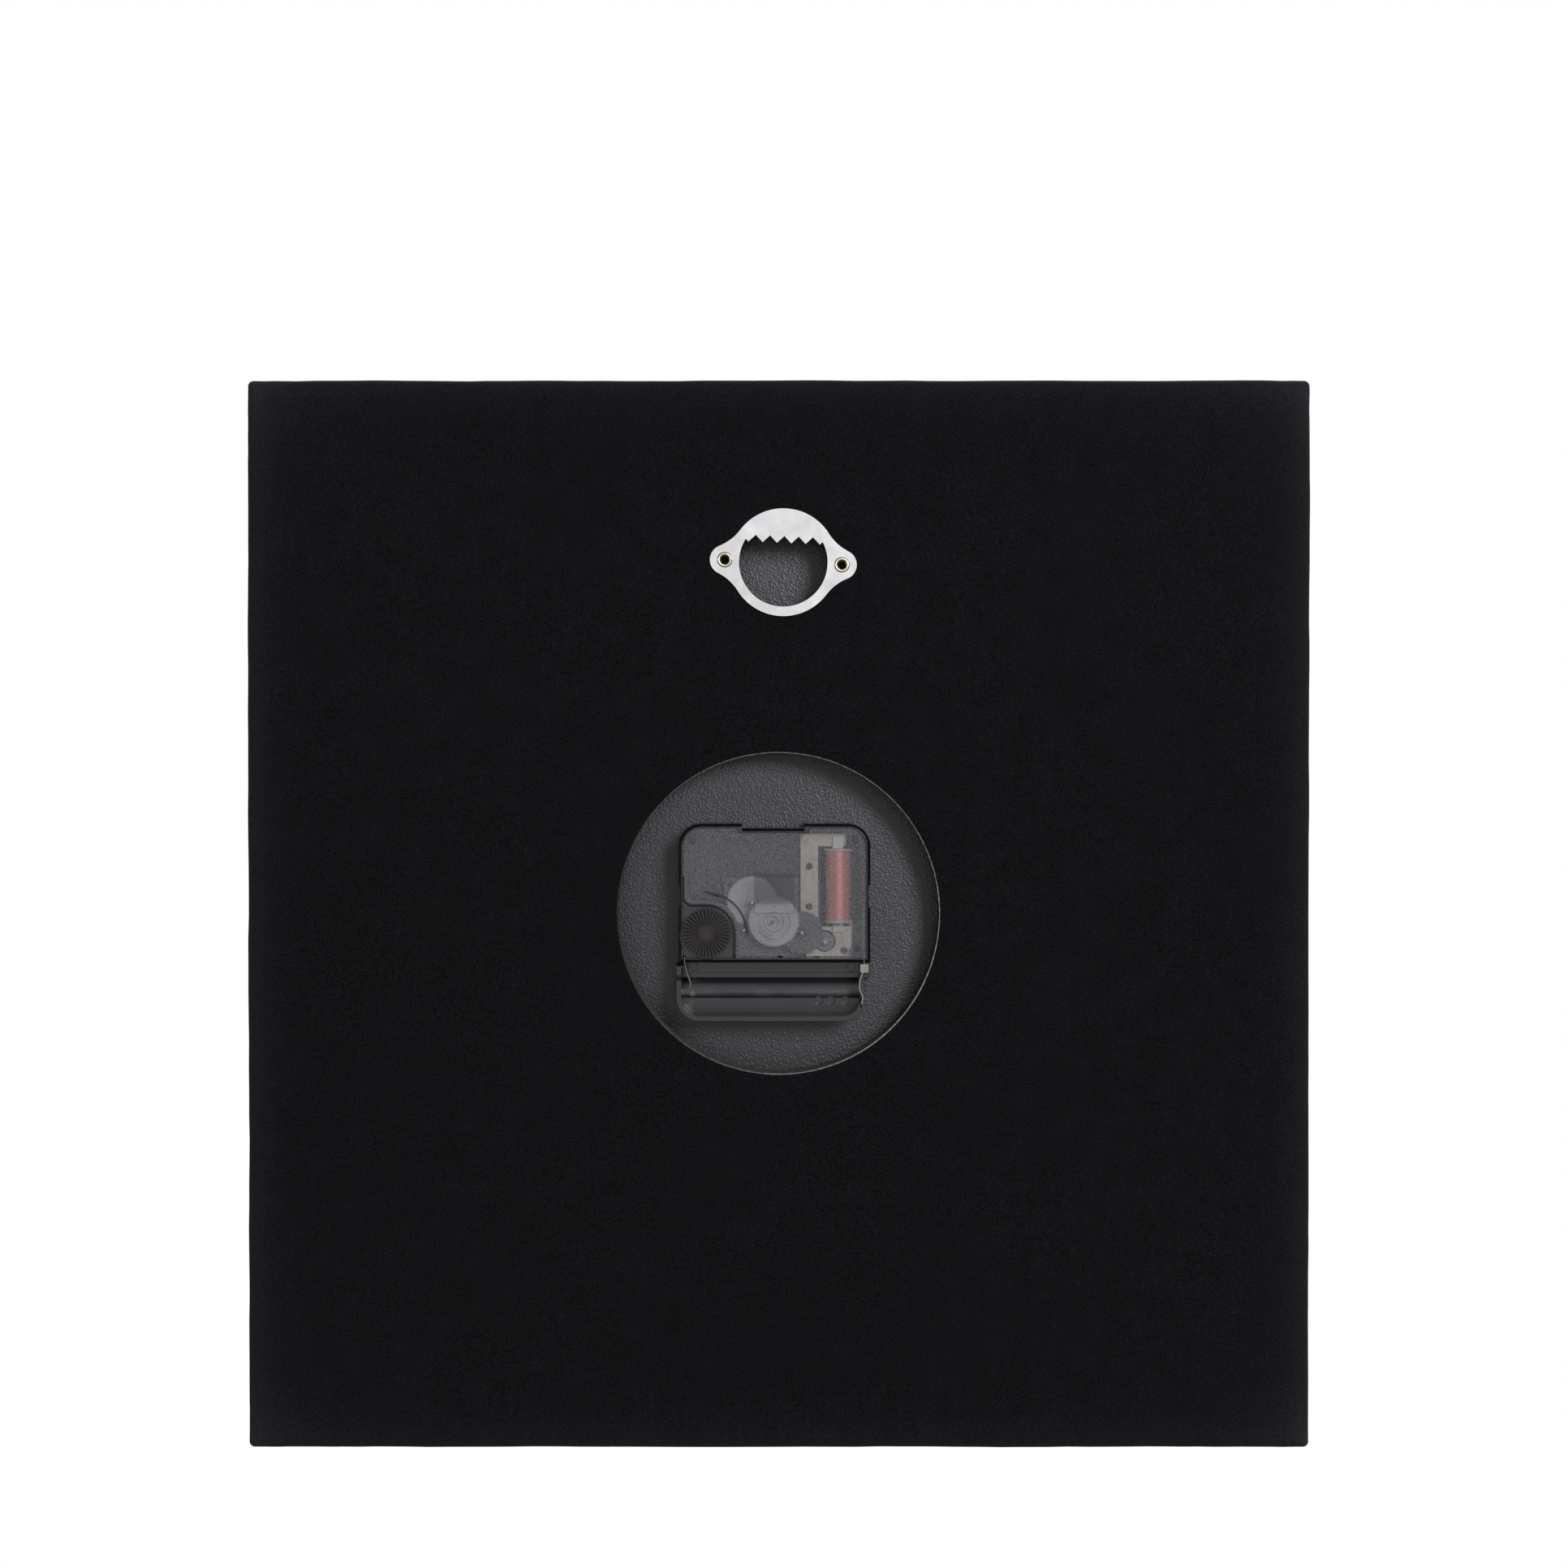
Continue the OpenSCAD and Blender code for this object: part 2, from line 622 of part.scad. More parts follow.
side_grip = [4, 10.4];
bay_axis = -19.4;
module front_housing() color([0.13, 0.13, 0.14]) difference() {
    union() {
        layer([0, 0], 0, base_level) housing_plan();
        layer([0, 0], 0, rim_level) difference() {
            housing_plan();
            housing_plan(wall);
        }
        layer([0, 0], 0, rim_level) intersection() {
            difference() {
                housing_plan();
                bay_plan();
            }
            span(-housing_width, housing_width, -housing_height, works_bottom);
        }
        well_part(moat_level, cover_level - running, -1, 0);
        well_part(moat_level, moat_level + 0.7, -0.5, moat_width + 0.4);
        well_part(moat_level, deck_level + 0.5, moat_width, moat_width + 0.8);
        layer([0, 0], deck_level, deck_top) well_side_only() knob_well(moat_width);
        bay_floor();
        for (p = plate_posts) {
            post(p, 1.1, 0, plate_level);
            post(p, 0.6, 0, plate_top);
        }
        for (p = stator_posts) post(p, 0.9, 0, stator_top + 0.3);
        post(stator_posts[0], 1.1, 0, plate_level);
        for (i = [1, 2]) post(stator_posts[i], 1.2, 0, stator_level);
        for (p = cover_posts) post(p, 1.1, 0, cover_level);
        for (p = [[-14.4, 1.2], [-14.4, 19.8], [-24, 19.8], [-18.5, 10]]) post(p, 0.8, 0, board_level);
    }
    post([0, 0], bush_diameter / 2, -1, base_level + 1);
    for (p = [third_at, motion_at]) post(p, pin + running, 0.4, base_level + 1);
    post(knob_at, setting_pin + running, 0.4, base_level + 1);
    post(knob_at, setting_pin + running, deck_level - 1, deck_top + 1);
    for (x = [housing_low.x, housing_high.x - works_step])
        layer([x, (side_grip[0] + side_grip[1]) / 2], -1, movement_depth + 1)
            square([1, side_grip[1] - side_grip[0]], center = true);
    rim_slopes();
    post(knob_at, knob_radius + 0.25, deck_top, movement_depth);
    // slots that let the contacts' tails through the wall above the battery
    for (x = contact_x)
        layer([x, (bay_top + works_bottom) / 2], base_level, movement_depth + 1)
            square([0.7, 2 * wall], center = true);
    // the groove above the battery runs out through the side walls, and one of them is open at the contact
    layer([0, 0], 2.5, movement_depth) {
        span(housing_high.x - 2 * wall, housing_high.x + 1, groove[0], groove[1]);
        span(housing_low.x - 1, -24.5, -24.3, groove[1] + 0.3);
    }
    layer([0, 0], tab_level - 0.1, movement_depth) span(housing_low.x - 1, -25.9, tab_span[0] - 0.2, bay_top);
    for (at = [[-22.1, -13.6], [23, -13.4]]) post(at, 1.25, 2.1, 3);
    for (x = [-13, -16.4, -20.7]) post([x, -23.3], 1.1, base_level, 3);
}

// The battery's seat: a shallow trough along X between two ledges
trough_radius = 7.5;
module bay_floor() difference() {
    union() {
        layer([0, 0], 0, 2.3) intersection() {
            housing_plan();
            span(-housing_width, housing_width, groove[1], works_bottom);
        }
        layer([0, 0], 0, 1.9) intersection() {
            housing_plan();
            span(-housing_width, housing_width, -housing_height, groove[0]);
        }
    }
    translate([shaft.x, y_mount + base_level + trough_radius, shaft.y + bay_axis])
        rotate([0, 90, 0]) cylinder(r = trough_radius, h = 2 * housing_width, center = true);
}

module threaded_bush() color("gold") difference() {
    union() {
        post([0, 0], bush_diameter / 2, dial_front - washer_thickness - nut_thickness, base_level);
        // the thread's crests show past the nut
        for (i = [0:1])
            let(start = dial_front - washer_thickness - nut_thickness - 0.5 * i) {
                post([0, 0], bush_diameter / 2 - 0.3, start - 0.5, start);
                post([0, 0], bush_diameter / 2, start - 0.5, start - 0.25);
            }
    }
    post([0, 0], hour_pin + running, bush_end - 1, base_level + 1);
}

module rubber_washer() color([0.15, 0.15, 0.15]) layer([0, 0], -rubber_thickness, 0) difference() {
    circle(11);
    circle(hole_radius);
}
module brass_washer() color("gold") layer([0, 0], dial_front - washer_thickness, dial_front) difference() {
    circle(7.5);
    circle(hole_radius);
}
module fixing_nut() color("gold")
    layer([0, 0], dial_front - washer_thickness - nut_thickness, dial_front - washer_thickness) difference() {
        circle(6 / cos(30), $fn = 6);
        circle(bush_diameter / 2);
    }

// Smoked cover: a plate with raised marks outside and pivot bosses inside
mark_height = 0.25;
mark_width = 0.25;
module frame(width, height) difference() {
    square([width, height], center = true);
    square([width - 2 * mark_width, height - 2 * mark_width], center = true);
}
module cover_marks() {
    difference() {
        circle(2.9);
        circle(2.9 - mark_width);
    }
    circle(0.4);
    arc_stroke(4.6, 155, 240, mark_width);
    arc_stroke(3.9, 275, 350, mark_width);
    arc_stroke(4.9, 260, 330, mark_width);
    translate([-0.1, 3.9]) frame(11.6, 3.2);
}

// The double arrow around the setting knob, pressed on the cover in black
arrow_radius = 11.6;
arrow_ends = [107, 165];
module arrow_head(angle, way, width, length)
    rotate(angle) translate([arrow_radius, 0])
        polygon(way > 0 ? [[-width / 2, -0.3], [width / 2, -0.3], [-0.3, length], [-0.4, length]]
            : [[-0.3, -length], [-0.2, -length], [width / 2, 0.3], [-width / 2, 0.3]]);
module cover_arrow() color([0.1, 0.1, 0.11])
    layer(knob_at, movement_depth, movement_depth + 0.1) {
        arc_stroke(arrow_radius, arrow_ends[0], arrow_ends[1], 0.3);
        arrow_head(arrow_ends[0], -1, 1, 4);
        arrow_head(arrow_ends[1], 1, 0.8, 3);
    }
module rear_cover() color([0.33, 0.32, 0.34, 0.5]) {
    difference() {
        union() {
            layer([0, 0], cover_level, movement_depth) difference() {
                works_plan(cover_gap);
                for (x = [-1.8, -12.2]) translate([x, works_bottom + cover_gap]) circle(0.8);
            }
            for (p = pivots) post(p, 1.3, boss_level, cover_level + eps);
            post([0, 0], 1.6, boss_level, cover_level + eps);
            layer([0, 0], movement_depth - eps, movement_depth + mark_height) cover_marks();
        }
        for (p = pivots) post(p, pin + running, boss_level - 1, pivot_end + 0.1);
        post([0, 0], seconds_pin + running, boss_level - 1, pivot_end + 0.1);
        layer([-0.1, 9.75], movement_depth - 0.25, movement_depth + 1) rounded_plan(11.4, 8, 0.8, 0.8);
    }
}

module middle_plate() color("whitesmoke") difference() {
    layer([0, 0], plate_level, plate_top) {
        span(-13.2, 14.2, -10.2, 12.2);
        span(-18.5, -13.1, -10.2, -1.4);
    }
    post([0, 0], minute_neck + running, 0, movement_depth);
    post(third_at, 1.5, 0, movement_depth);
    for (p = [motion_at, intermediate_at, rotor_at]) post(p, pin + running, 0, movement_depth);
    for (p = plate_posts) post(p, 0.65, 0, movement_depth);
    post(stator_posts[0], 0.95, 0, movement_depth);
}

// ================= movement: electrics =================
module circuit_board() color("darkgreen") layer([0, 0], board_level, board_level + 0.8)
    span(-25.2, -13.4, 0, 21);
module chip_blob() color([0.05, 0.05, 0.05]) intersection() {
    translate([shaft.x - 20, y_mount + board_level + 0.8 - 2.2, shaft.y + 14]) sphere(3.2);
    layer([-20, 14], board_level + 0.8, board_level + 2) circle(4);
}
module quartz_crystal() color("silver")
    translate([shaft.x - 15.2, y_mount + board_level + 0.8 + 1, shaft.y + 5]) cylinder(r = 1, h = 6.2);

module coil_drum(radius, z_low, z_high)
    translate([shaft.x + coil_x, y_mount + coil_level, shaft.y + z_low])
        cylinder(r = radius, h = z_high - z_low);
core_width = 3;
core_depth = 0.8;
flange_thickness = 0.8;
module coil_bobbin() color("whitesmoke") difference() {
    union() {
        coil_drum(2, coil_bottom - eps, coil_top + eps);
        coil_drum(4, coil_bottom - flange_thickness, coil_bottom);
        coil_drum(4, coil_top, coil_top + flange_thickness);
    }
    layer([coil_x, 0], coil_level - core_depth / 2, coil_level + core_depth / 2)
        span(-core_width / 2, core_width / 2, -5, 30);
}
module coil_winding() color([0.72, 0.3, 0.25]) difference() {
    coil_drum(3.6, coil_bottom, coil_top);
    coil_drum(2, coil_bottom - 1, coil_top + 1);
}
module coil_core() color("silver")
    layer([coil_x, 0], stator_top, stator_top + core_depth) span(-core_width / 2, core_width / 2, -3.3, 24);

module stator_plate() color([0.8, 0.78, 0.72]) difference() {
    layer([0, 0], stator_level, stator_top) {
        span(-12.6, -7.6, 2, 24.8);
        span(-12.6, -9.2, -1.7, 2.1);
        span(-22, -9.2, -10.2, -1.6);
        span(-20.5, -7.6, 21.2, 24.8);
    }
    post(rotor_at, 3.1, 0, movement_depth);
    for (p = stator_posts) post(p, 0.95, 0, movement_depth);
}

// Leaf contacts: the leaf is seen on edge in plan, and a tail carries it to the board
contact_thickness = 0.3;
contact_x = [-25.7, 25.4];
tab_level = 12.4;
tab_span = [-14.6, -12.2];
module battery_contact_positive() color("silver") {
    layer([0, 0], 4, tab_level)
        strip([[contact_x[0], bay_top - 0.5], [-25.3, -14.6], [-24.9, -15.6], [-24.5, -16.6], [-24.4, -17.8],
            [-24.4, -19.2], [-24.7, -20.2], [-25.2, -21], [-25.3, -22], [-25, -23.6]], 0.4);
    layer([0, 0], base_level, tab_level)
        strip([[contact_x[0], bay_top - 0.6], [contact_x[0], -9]], contact_thickness);
    layer([0, 0], tab_level, tab_level + 0.3) span(-26.9, -24.6, tab_span[0], tab_span[1]);
    layer([0, 0], base_level, 2.6) strip([[contact_x[0], -9.1], [contact_x[0], 2.2]], contact_thickness);
    layer([0, 0], base_level, board_level) span(-25.85, -23.5, 0.5, 2.2);
}
module battery_contact_negative() color("silver") {
    layer([0, 0], 4, 11.4)
        strip([[contact_x[1], bay_top - 0.3], [24.6, -15], [23.6, -18], [23.9, -18.8]], 0.2);
    layer([0, 0], base_level, 11.4)
        strip([[contact_x[1], bay_top - 0.4], [contact_x[1], works_bottom + 0.2]], contact_thickness);
    layer([0, 0], base_level, 2.6)
        strip([[contact_x[1] + contact_thickness / 2, works_bottom + 0.25], [-22.6, works_bottom + 0.25]],
            contact_thickness);
    layer([0, 0], base_level, board_level) span(-22.6, -21.4, works_bottom + 0.1, 1.5);
}

// ================= movement: gear train =================
// Steel arbors are pressed through moulded wheels.
module arbor(at, radius, low, high) color("silver") post(at, radius, low, high);

module rotor_magnet() color("dimgray") layer(rotor_at, 6.6, 9.4) difference() {
    circle(2.7);
    circle(0.95);
}
module rotor_pinion() color("white") difference() {
    union() {
        layer(rotor_at, 6.5, 9.5) circle(0.95, $fn = 12);
        layer(rotor_at, 9.5, 11.2) pinion(rotor_size, rotor_teeth, rotor_phase);
    }
    layer(rotor_at, 0, movement_depth) flatted(pin);
}
module rotor_arbor() arbor(rotor_at, pin, plate_level + 0.05, pivot_end);

module intermediate_wheel() color("white") difference() {
    union() {
        layer(intermediate_at, 9.6, 10.3) circle(1.4, $fn = 12);
        layer(intermediate_at, 10.2, 10.9) wheel(rotor_size, intermediate_teeth, 0);
        layer(intermediate_at, 10.8, 12.4)
            pinion(seconds_size, intermediate_pinion_teeth, intermediate_pinion_phase);
    }
    layer(intermediate_at, 0, movement_depth) flatted(pin);
}
module intermediate_arbor() arbor(intermediate_at, pin, plate_level + 0.05, pivot_end);

module seconds_wheel() color("white") difference() {
    union() {
        layer([0, 0], 6.35, 8.55) pinion(third_size, train_pinion_teeth, 0);
        layer([0, 0], 8.45, 11.3) circle(1.2, $fn = 12);
        layer([0, 0], 11.2, 12) wheel(seconds_size, seconds_teeth, 0);
        layer([0, 0], 11.9, 12.6) circle(1.8, $fn = 12);
    }
    layer([0, 0], 0, movement_depth) flatted(seconds_pin);
}
module seconds_arbor() arbor([0, 0], seconds_pin, dial_front - 11.2, pivot_end);

module third_wheel() color("white") difference() {
    union() {
        layer(third_at, 4.4, 6.5) pinion(centre_size, train_pinion_teeth, 0);
        layer(third_at, 6.4, 7.2) wheel(third_size, seconds_teeth, third_phase);
        layer(third_at, 7.1, 7.8) circle(1.6, $fn = 12);
    }
    layer(third_at, 0, movement_depth) flatted(pin);
}
module third_arbor() arbor(third_at, pin, 0.45, pivot_end);

module centre_wheel() color("white") difference() {
    union() {
        layer([0, 0], 4.6, 5.4) wheel(centre_size, centre_teeth, centre_phase);
        layer([0, 0], 4.45, 5.5) circle(2.4, $fn = 12);
    }
    layer([0, 0], 0, movement_depth) flatted(minute_neck + running);
}

module cannon_pinion() color("white") difference() {
    union() {
        layer([0, 0], 2.8, 3.9) pinion(motion_module, cannon_teeth, 0);
        layer([0, 0], 3.8, 4.1) circle(2.5, $fn = 12);
    }
    layer([0, 0], 0, movement_depth) flatted(minute_neck);
}
module minute_arbor() color("silver") difference() {
    union() {
        post([0, 0], minute_pin, dial_front - 8.2, 2.6);
        post([0, 0], minute_neck, 2.5, plate_top - 0.05);
    }
    post([0, 0], seconds_pin + running, dial_front - 10, movement_depth);
}
// A three-leaf spring that lets the hands slip when they are set
module clutch_spring() color("gold") layer([0, 0], 4.1, 4.4) difference() {
    union() {
        circle(1.9);
        around(3, 90) translate([0, -0.6]) square([3, 1.2]);
    }
    circle(minute_neck);
}

module motion_wheel() color("white") difference() {
    union() {
        layer(motion_at, 1.5, 3) pinion(hour_size, motion_pinion_teeth, 0);
        layer(motion_at, 2.9, 3.7) wheel(motion_module, motion_teeth, motion_phase);
    }
    layer(motion_at, 0, movement_depth) flatted(pin);
}
module motion_arbor() arbor(motion_at, pin, 0.45, plate_top - 0.1);

module hour_wheel() color("white") difference() {
    union() {
        layer([0, 0], 1.6, 2.4) wheel(hour_size, hour_teeth, hour_phase);
        layer([0, 0], 1.4, 1.7) circle(3.8, $fn = 12);
    }
    layer([0, 0], 0, movement_depth) flatted(hour_pin);
}
module hour_tube() color("white") layer([0, 0], dial_front - 5.5, 2.5) difference() {
    circle(hour_pin);
    circle(minute_pin + running);
}

module setting_pinion() color("white") difference() {
    union() {
        layer(knob_at, 2.8, 3.9) pinion(motion_module, setting_teeth, setting_phase);
        layer(knob_at, 3.8, 5) circle(2.6, $fn = 12);
    }
    layer(knob_at, 0, movement_depth) flatted(setting_pin);
}
module setting_shaft() color("silver") post(knob_at, setting_pin, 0.45, 15.4);

knob_level = 13.5;
module setting_knob() color([0.17, 0.15, 0.16]) difference() {
    union() {
        layer(knob_at, knob_level, 14.9) circle(knob_radius - 0.5);
        // ridges that run in from the rim over the face
        layer(knob_at, knob_level, 15.5) around(knob_ridges)
            polygon([[1.5, -0.08], [knob_radius, -0.3], [knob_radius, 0.3], [1.5, 0.08]]);
        layer(knob_at, 14.5, 15.3) circle(2.4);
        layer(knob_at, 15, 15.6) circle(1.6);
    }
    post(knob_at, setting_pin, 0, 15.4);
}

// ================= hands =================
module hand_slab(low, thickness) layer([0, 0], dial_front - low - thickness, dial_front - low) children();

hour_angle = 30 * shown_hour + shown_minute / 2 + shown_second / 120;
minute_angle = 6 * shown_minute + shown_second / 10;
second_angle = 6 * shown_second;

module hand_blade(length, tail, root_width, tip_width)
    polygon([[-root_width / 2, -tail], [root_width / 2, -tail], [root_width / 2, 6],
        [tip_width / 2, length - 2], [0, length], [-tip_width / 2, length - 2], [-root_width / 2, 6]]);

module collar_hand(length, tail, width, tip, hub, bore, low, angle) {
    hand_slab(low, 0.5) difference() {
        union() {
            rotate(-angle) hand_blade(length, tail, width, tip);
            circle(hub);
        }
        circle(bore);
    }
    hand_slab(low + 0.5 - eps, 0.7) difference() {
        circle(bore + 0.9);
        circle(bore);
    }
}
module hour_hand() color("silver")
    collar_hand(hour_hand_length, 12, 5.5, 3.4, 6, hour_pin, 4.2, hour_angle);
module minute_hand() color("silver")
    collar_hand(minute_hand_length, 14, 4.4, 2.4, 5, minute_pin, 6.8, minute_angle);

module second_hand() color("silver") hand_slab(9.9, 0.3) difference() {
    union() {
        rotate(-second_angle) {
            polygon([[-0.8, -30], [0.8, -30], [0.35, second_hand_length], [-0.35, second_hand_length]]);
            translate([0, -27]) circle(3.6);
        }
        circle(3);
    }
    circle(1.1);
}
module second_hand_tube() color("silver") difference() {
    union() {
        hand_slab(8.9, 2) circle(1.1);
        hand_slab(10.2, 1.2) circle(1.6);
    }
    hand_slab(8, 3.2) circle(seconds_pin);
}

core_board();
felt_cover();
felt_backing();
rear_liner();
dial_panel();
dial_skin();
hour_markers();
numerals();
minute_dots();
hanger_plate();
hanger_rivets();
front_housing();
threaded_bush();
rear_cover();
cover_arrow();
middle_plate();
rubber_washer();
brass_washer();
fixing_nut();
circuit_board();
chip_blob();
quartz_crystal();
coil_bobbin();
coil_winding();
coil_core();
stator_plate();
battery_contact_positive();
battery_contact_negative();
rotor_magnet();
rotor_pinion();
rotor_arbor();
intermediate_wheel();
intermediate_arbor();
seconds_wheel();
seconds_arbor();
third_wheel();
third_arbor();
centre_wheel();
cannon_pinion();
minute_arbor();
clutch_spring();
motion_wheel();
motion_arbor();
hour_wheel();
hour_tube();
setting_pinion();
setting_shaft();
setting_knob();
hour_hand();
minute_hand();
second_hand();
second_hand_tube();
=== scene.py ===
"""Looks for the square wall clock: felt back, grained recess, smoked quartz movement, ring hanger.

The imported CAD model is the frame. The felt is built here as its own mesh; every other CAD node keeps
its shape and gets softened edges and a procedural material. Lengths are in metres, +Y is the wall side.
"""

import math

import bmesh
import bpy
import numpy as np
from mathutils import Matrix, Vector, noise
from mathutils.geometry import delaunay_2d_cdt


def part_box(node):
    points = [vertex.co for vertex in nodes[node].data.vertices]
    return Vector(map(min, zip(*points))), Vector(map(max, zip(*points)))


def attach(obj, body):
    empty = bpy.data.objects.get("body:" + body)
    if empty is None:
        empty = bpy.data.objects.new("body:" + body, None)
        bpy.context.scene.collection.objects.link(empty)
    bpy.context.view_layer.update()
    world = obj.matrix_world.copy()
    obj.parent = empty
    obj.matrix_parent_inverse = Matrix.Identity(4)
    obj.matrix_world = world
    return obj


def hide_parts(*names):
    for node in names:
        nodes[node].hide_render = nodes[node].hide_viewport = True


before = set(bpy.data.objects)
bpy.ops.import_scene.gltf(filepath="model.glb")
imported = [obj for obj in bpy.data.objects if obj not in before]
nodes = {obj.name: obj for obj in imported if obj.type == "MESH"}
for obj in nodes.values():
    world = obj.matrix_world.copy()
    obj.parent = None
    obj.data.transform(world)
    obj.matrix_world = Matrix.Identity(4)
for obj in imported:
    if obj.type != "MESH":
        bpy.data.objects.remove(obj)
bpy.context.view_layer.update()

MM = 0.001


def middle(node):
    low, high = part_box(node)
    return (low + high) / 2


PANEL = middle("felt_cover")
# the hanger's ring is centred between its two rivets
RING = middle("hanger_rivets")
SHAFT = middle("threaded_bush")
# the recess is centred a little off the hands' shaft
RECESS = SHAFT + Vector((-1.4 * MM, 0, 2.5 * MM))
FELT_LOW, FELT_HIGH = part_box("felt_cover")


# ================= camera, lights and stage =================
def add_camera():
    """Behind the clock, a little above its middle and pitched down by under a degree."""
    distance = 1.15
    width_seen = 0.4431
    aim = Vector((RECESS.x - 1.5 * MM, FELT_HIGH.y, RECESS.z + 36.6 * MM))
    data = bpy.data.cameras.new("camera")
    data.sensor_width = 36
    data.lens = data.sensor_width * distance / width_seen
    camera = bpy.data.objects.new("camera", data)
    bpy.context.scene.collection.objects.link(camera)
    camera.location = aim + Vector((0, distance, 16 * MM))
    camera.rotation_mode = "QUATERNION"
    camera.rotation_quaternion = (aim - camera.location).to_track_quat("-Z", "Y")
    bpy.context.scene.camera = camera


def add_softbox(name, direction, distance, size, radiance, tint=(1, 1, 1)):
    """A square area light that faces the recess, given by how bright its surface is."""
    data = bpy.data.lights.new(name, "AREA")
    data.shape = "SQUARE"
    data.size = size
    data.color = tint
    data.energy = radiance * math.pi * size * size
    light = bpy.data.objects.new(name, data)
    bpy.context.scene.collection.objects.link(light)
    towards = Vector(direction).normalized()
    light.location = RECESS + towards * distance
    light.rotation_mode = "QUATERNION"
    light.rotation_quaternion = (-towards).to_track_quat("-Z", "Y")


def add_lights():
    daylight = (0.955, 0.965, 1.0)
    add_softbox("key", (-0.35, 1, 0.28), 1.7, 0.42, 26, daylight)
    add_softbox("wall_side_fill", (0.0, 1, 0.06), 2.3, 1.7, 0.68, daylight)
    add_softbox("left_strip", (1.0, 0.35, 0.1), 1.6, 0.5, 2.2)
    add_softbox("dial_side_key", (-0.7, -1, 0.9), 1.8, 0.8, 6)
    add_softbox("dial_side_fill", (0.4, -1, 0.15), 2.3, 1.9, 1.5)


def add_world():
    """White to the camera and a dimmer grey to everything else."""
    world = bpy.data.worlds.new("studio")
    bpy.context.scene.world = world
    world.use_nodes = True
    tree = world.node_tree
    background = tree.nodes["Background"]
    background.inputs["Color"].default_value = (1, 1, 1, 1)
    path = tree.nodes.new("ShaderNodeLightPath")
    strength = tree.nodes.new("ShaderNodeMapRange")
    strength.inputs["To Min"].default_value = 0.09
    strength.inputs["To Max"].default_value = 1.0
    tree.links.new(path.outputs["Is Camera Ray"], strength.inputs["Value"])
    tree.links.new(strength.outputs["Result"], background.inputs["Strength"])


def add_floor():
    """A pale disc well below the clock, which hangs clear of it."""
    bm = bmesh.new()
    bmesh.ops.create_circle(bm, cap_ends=True, radius=2.2, segments=96)
    mesh = bpy.data.meshes.new("floor")
    bm.to_mesh(mesh)
    bm.free()
    floor = bpy.data.objects.new("floor", mesh)
    bpy.context.scene.collection.objects.link(floor)
    drop = 0.7
    floor.location = (PANEL.x, PANEL.y, PANEL.z - drop)
    paint = Paint("floor", Base_Color=(0.8, 0.8, 0.8, 1), Roughness=0.9)
    paint.set("Emission Color", (1, 1, 1, 1))
    paint.set("Emission Strength", 0.55)
    mesh.materials.append(paint.material)
    floor.visible_diffuse = False
    floor.visible_glossy = False


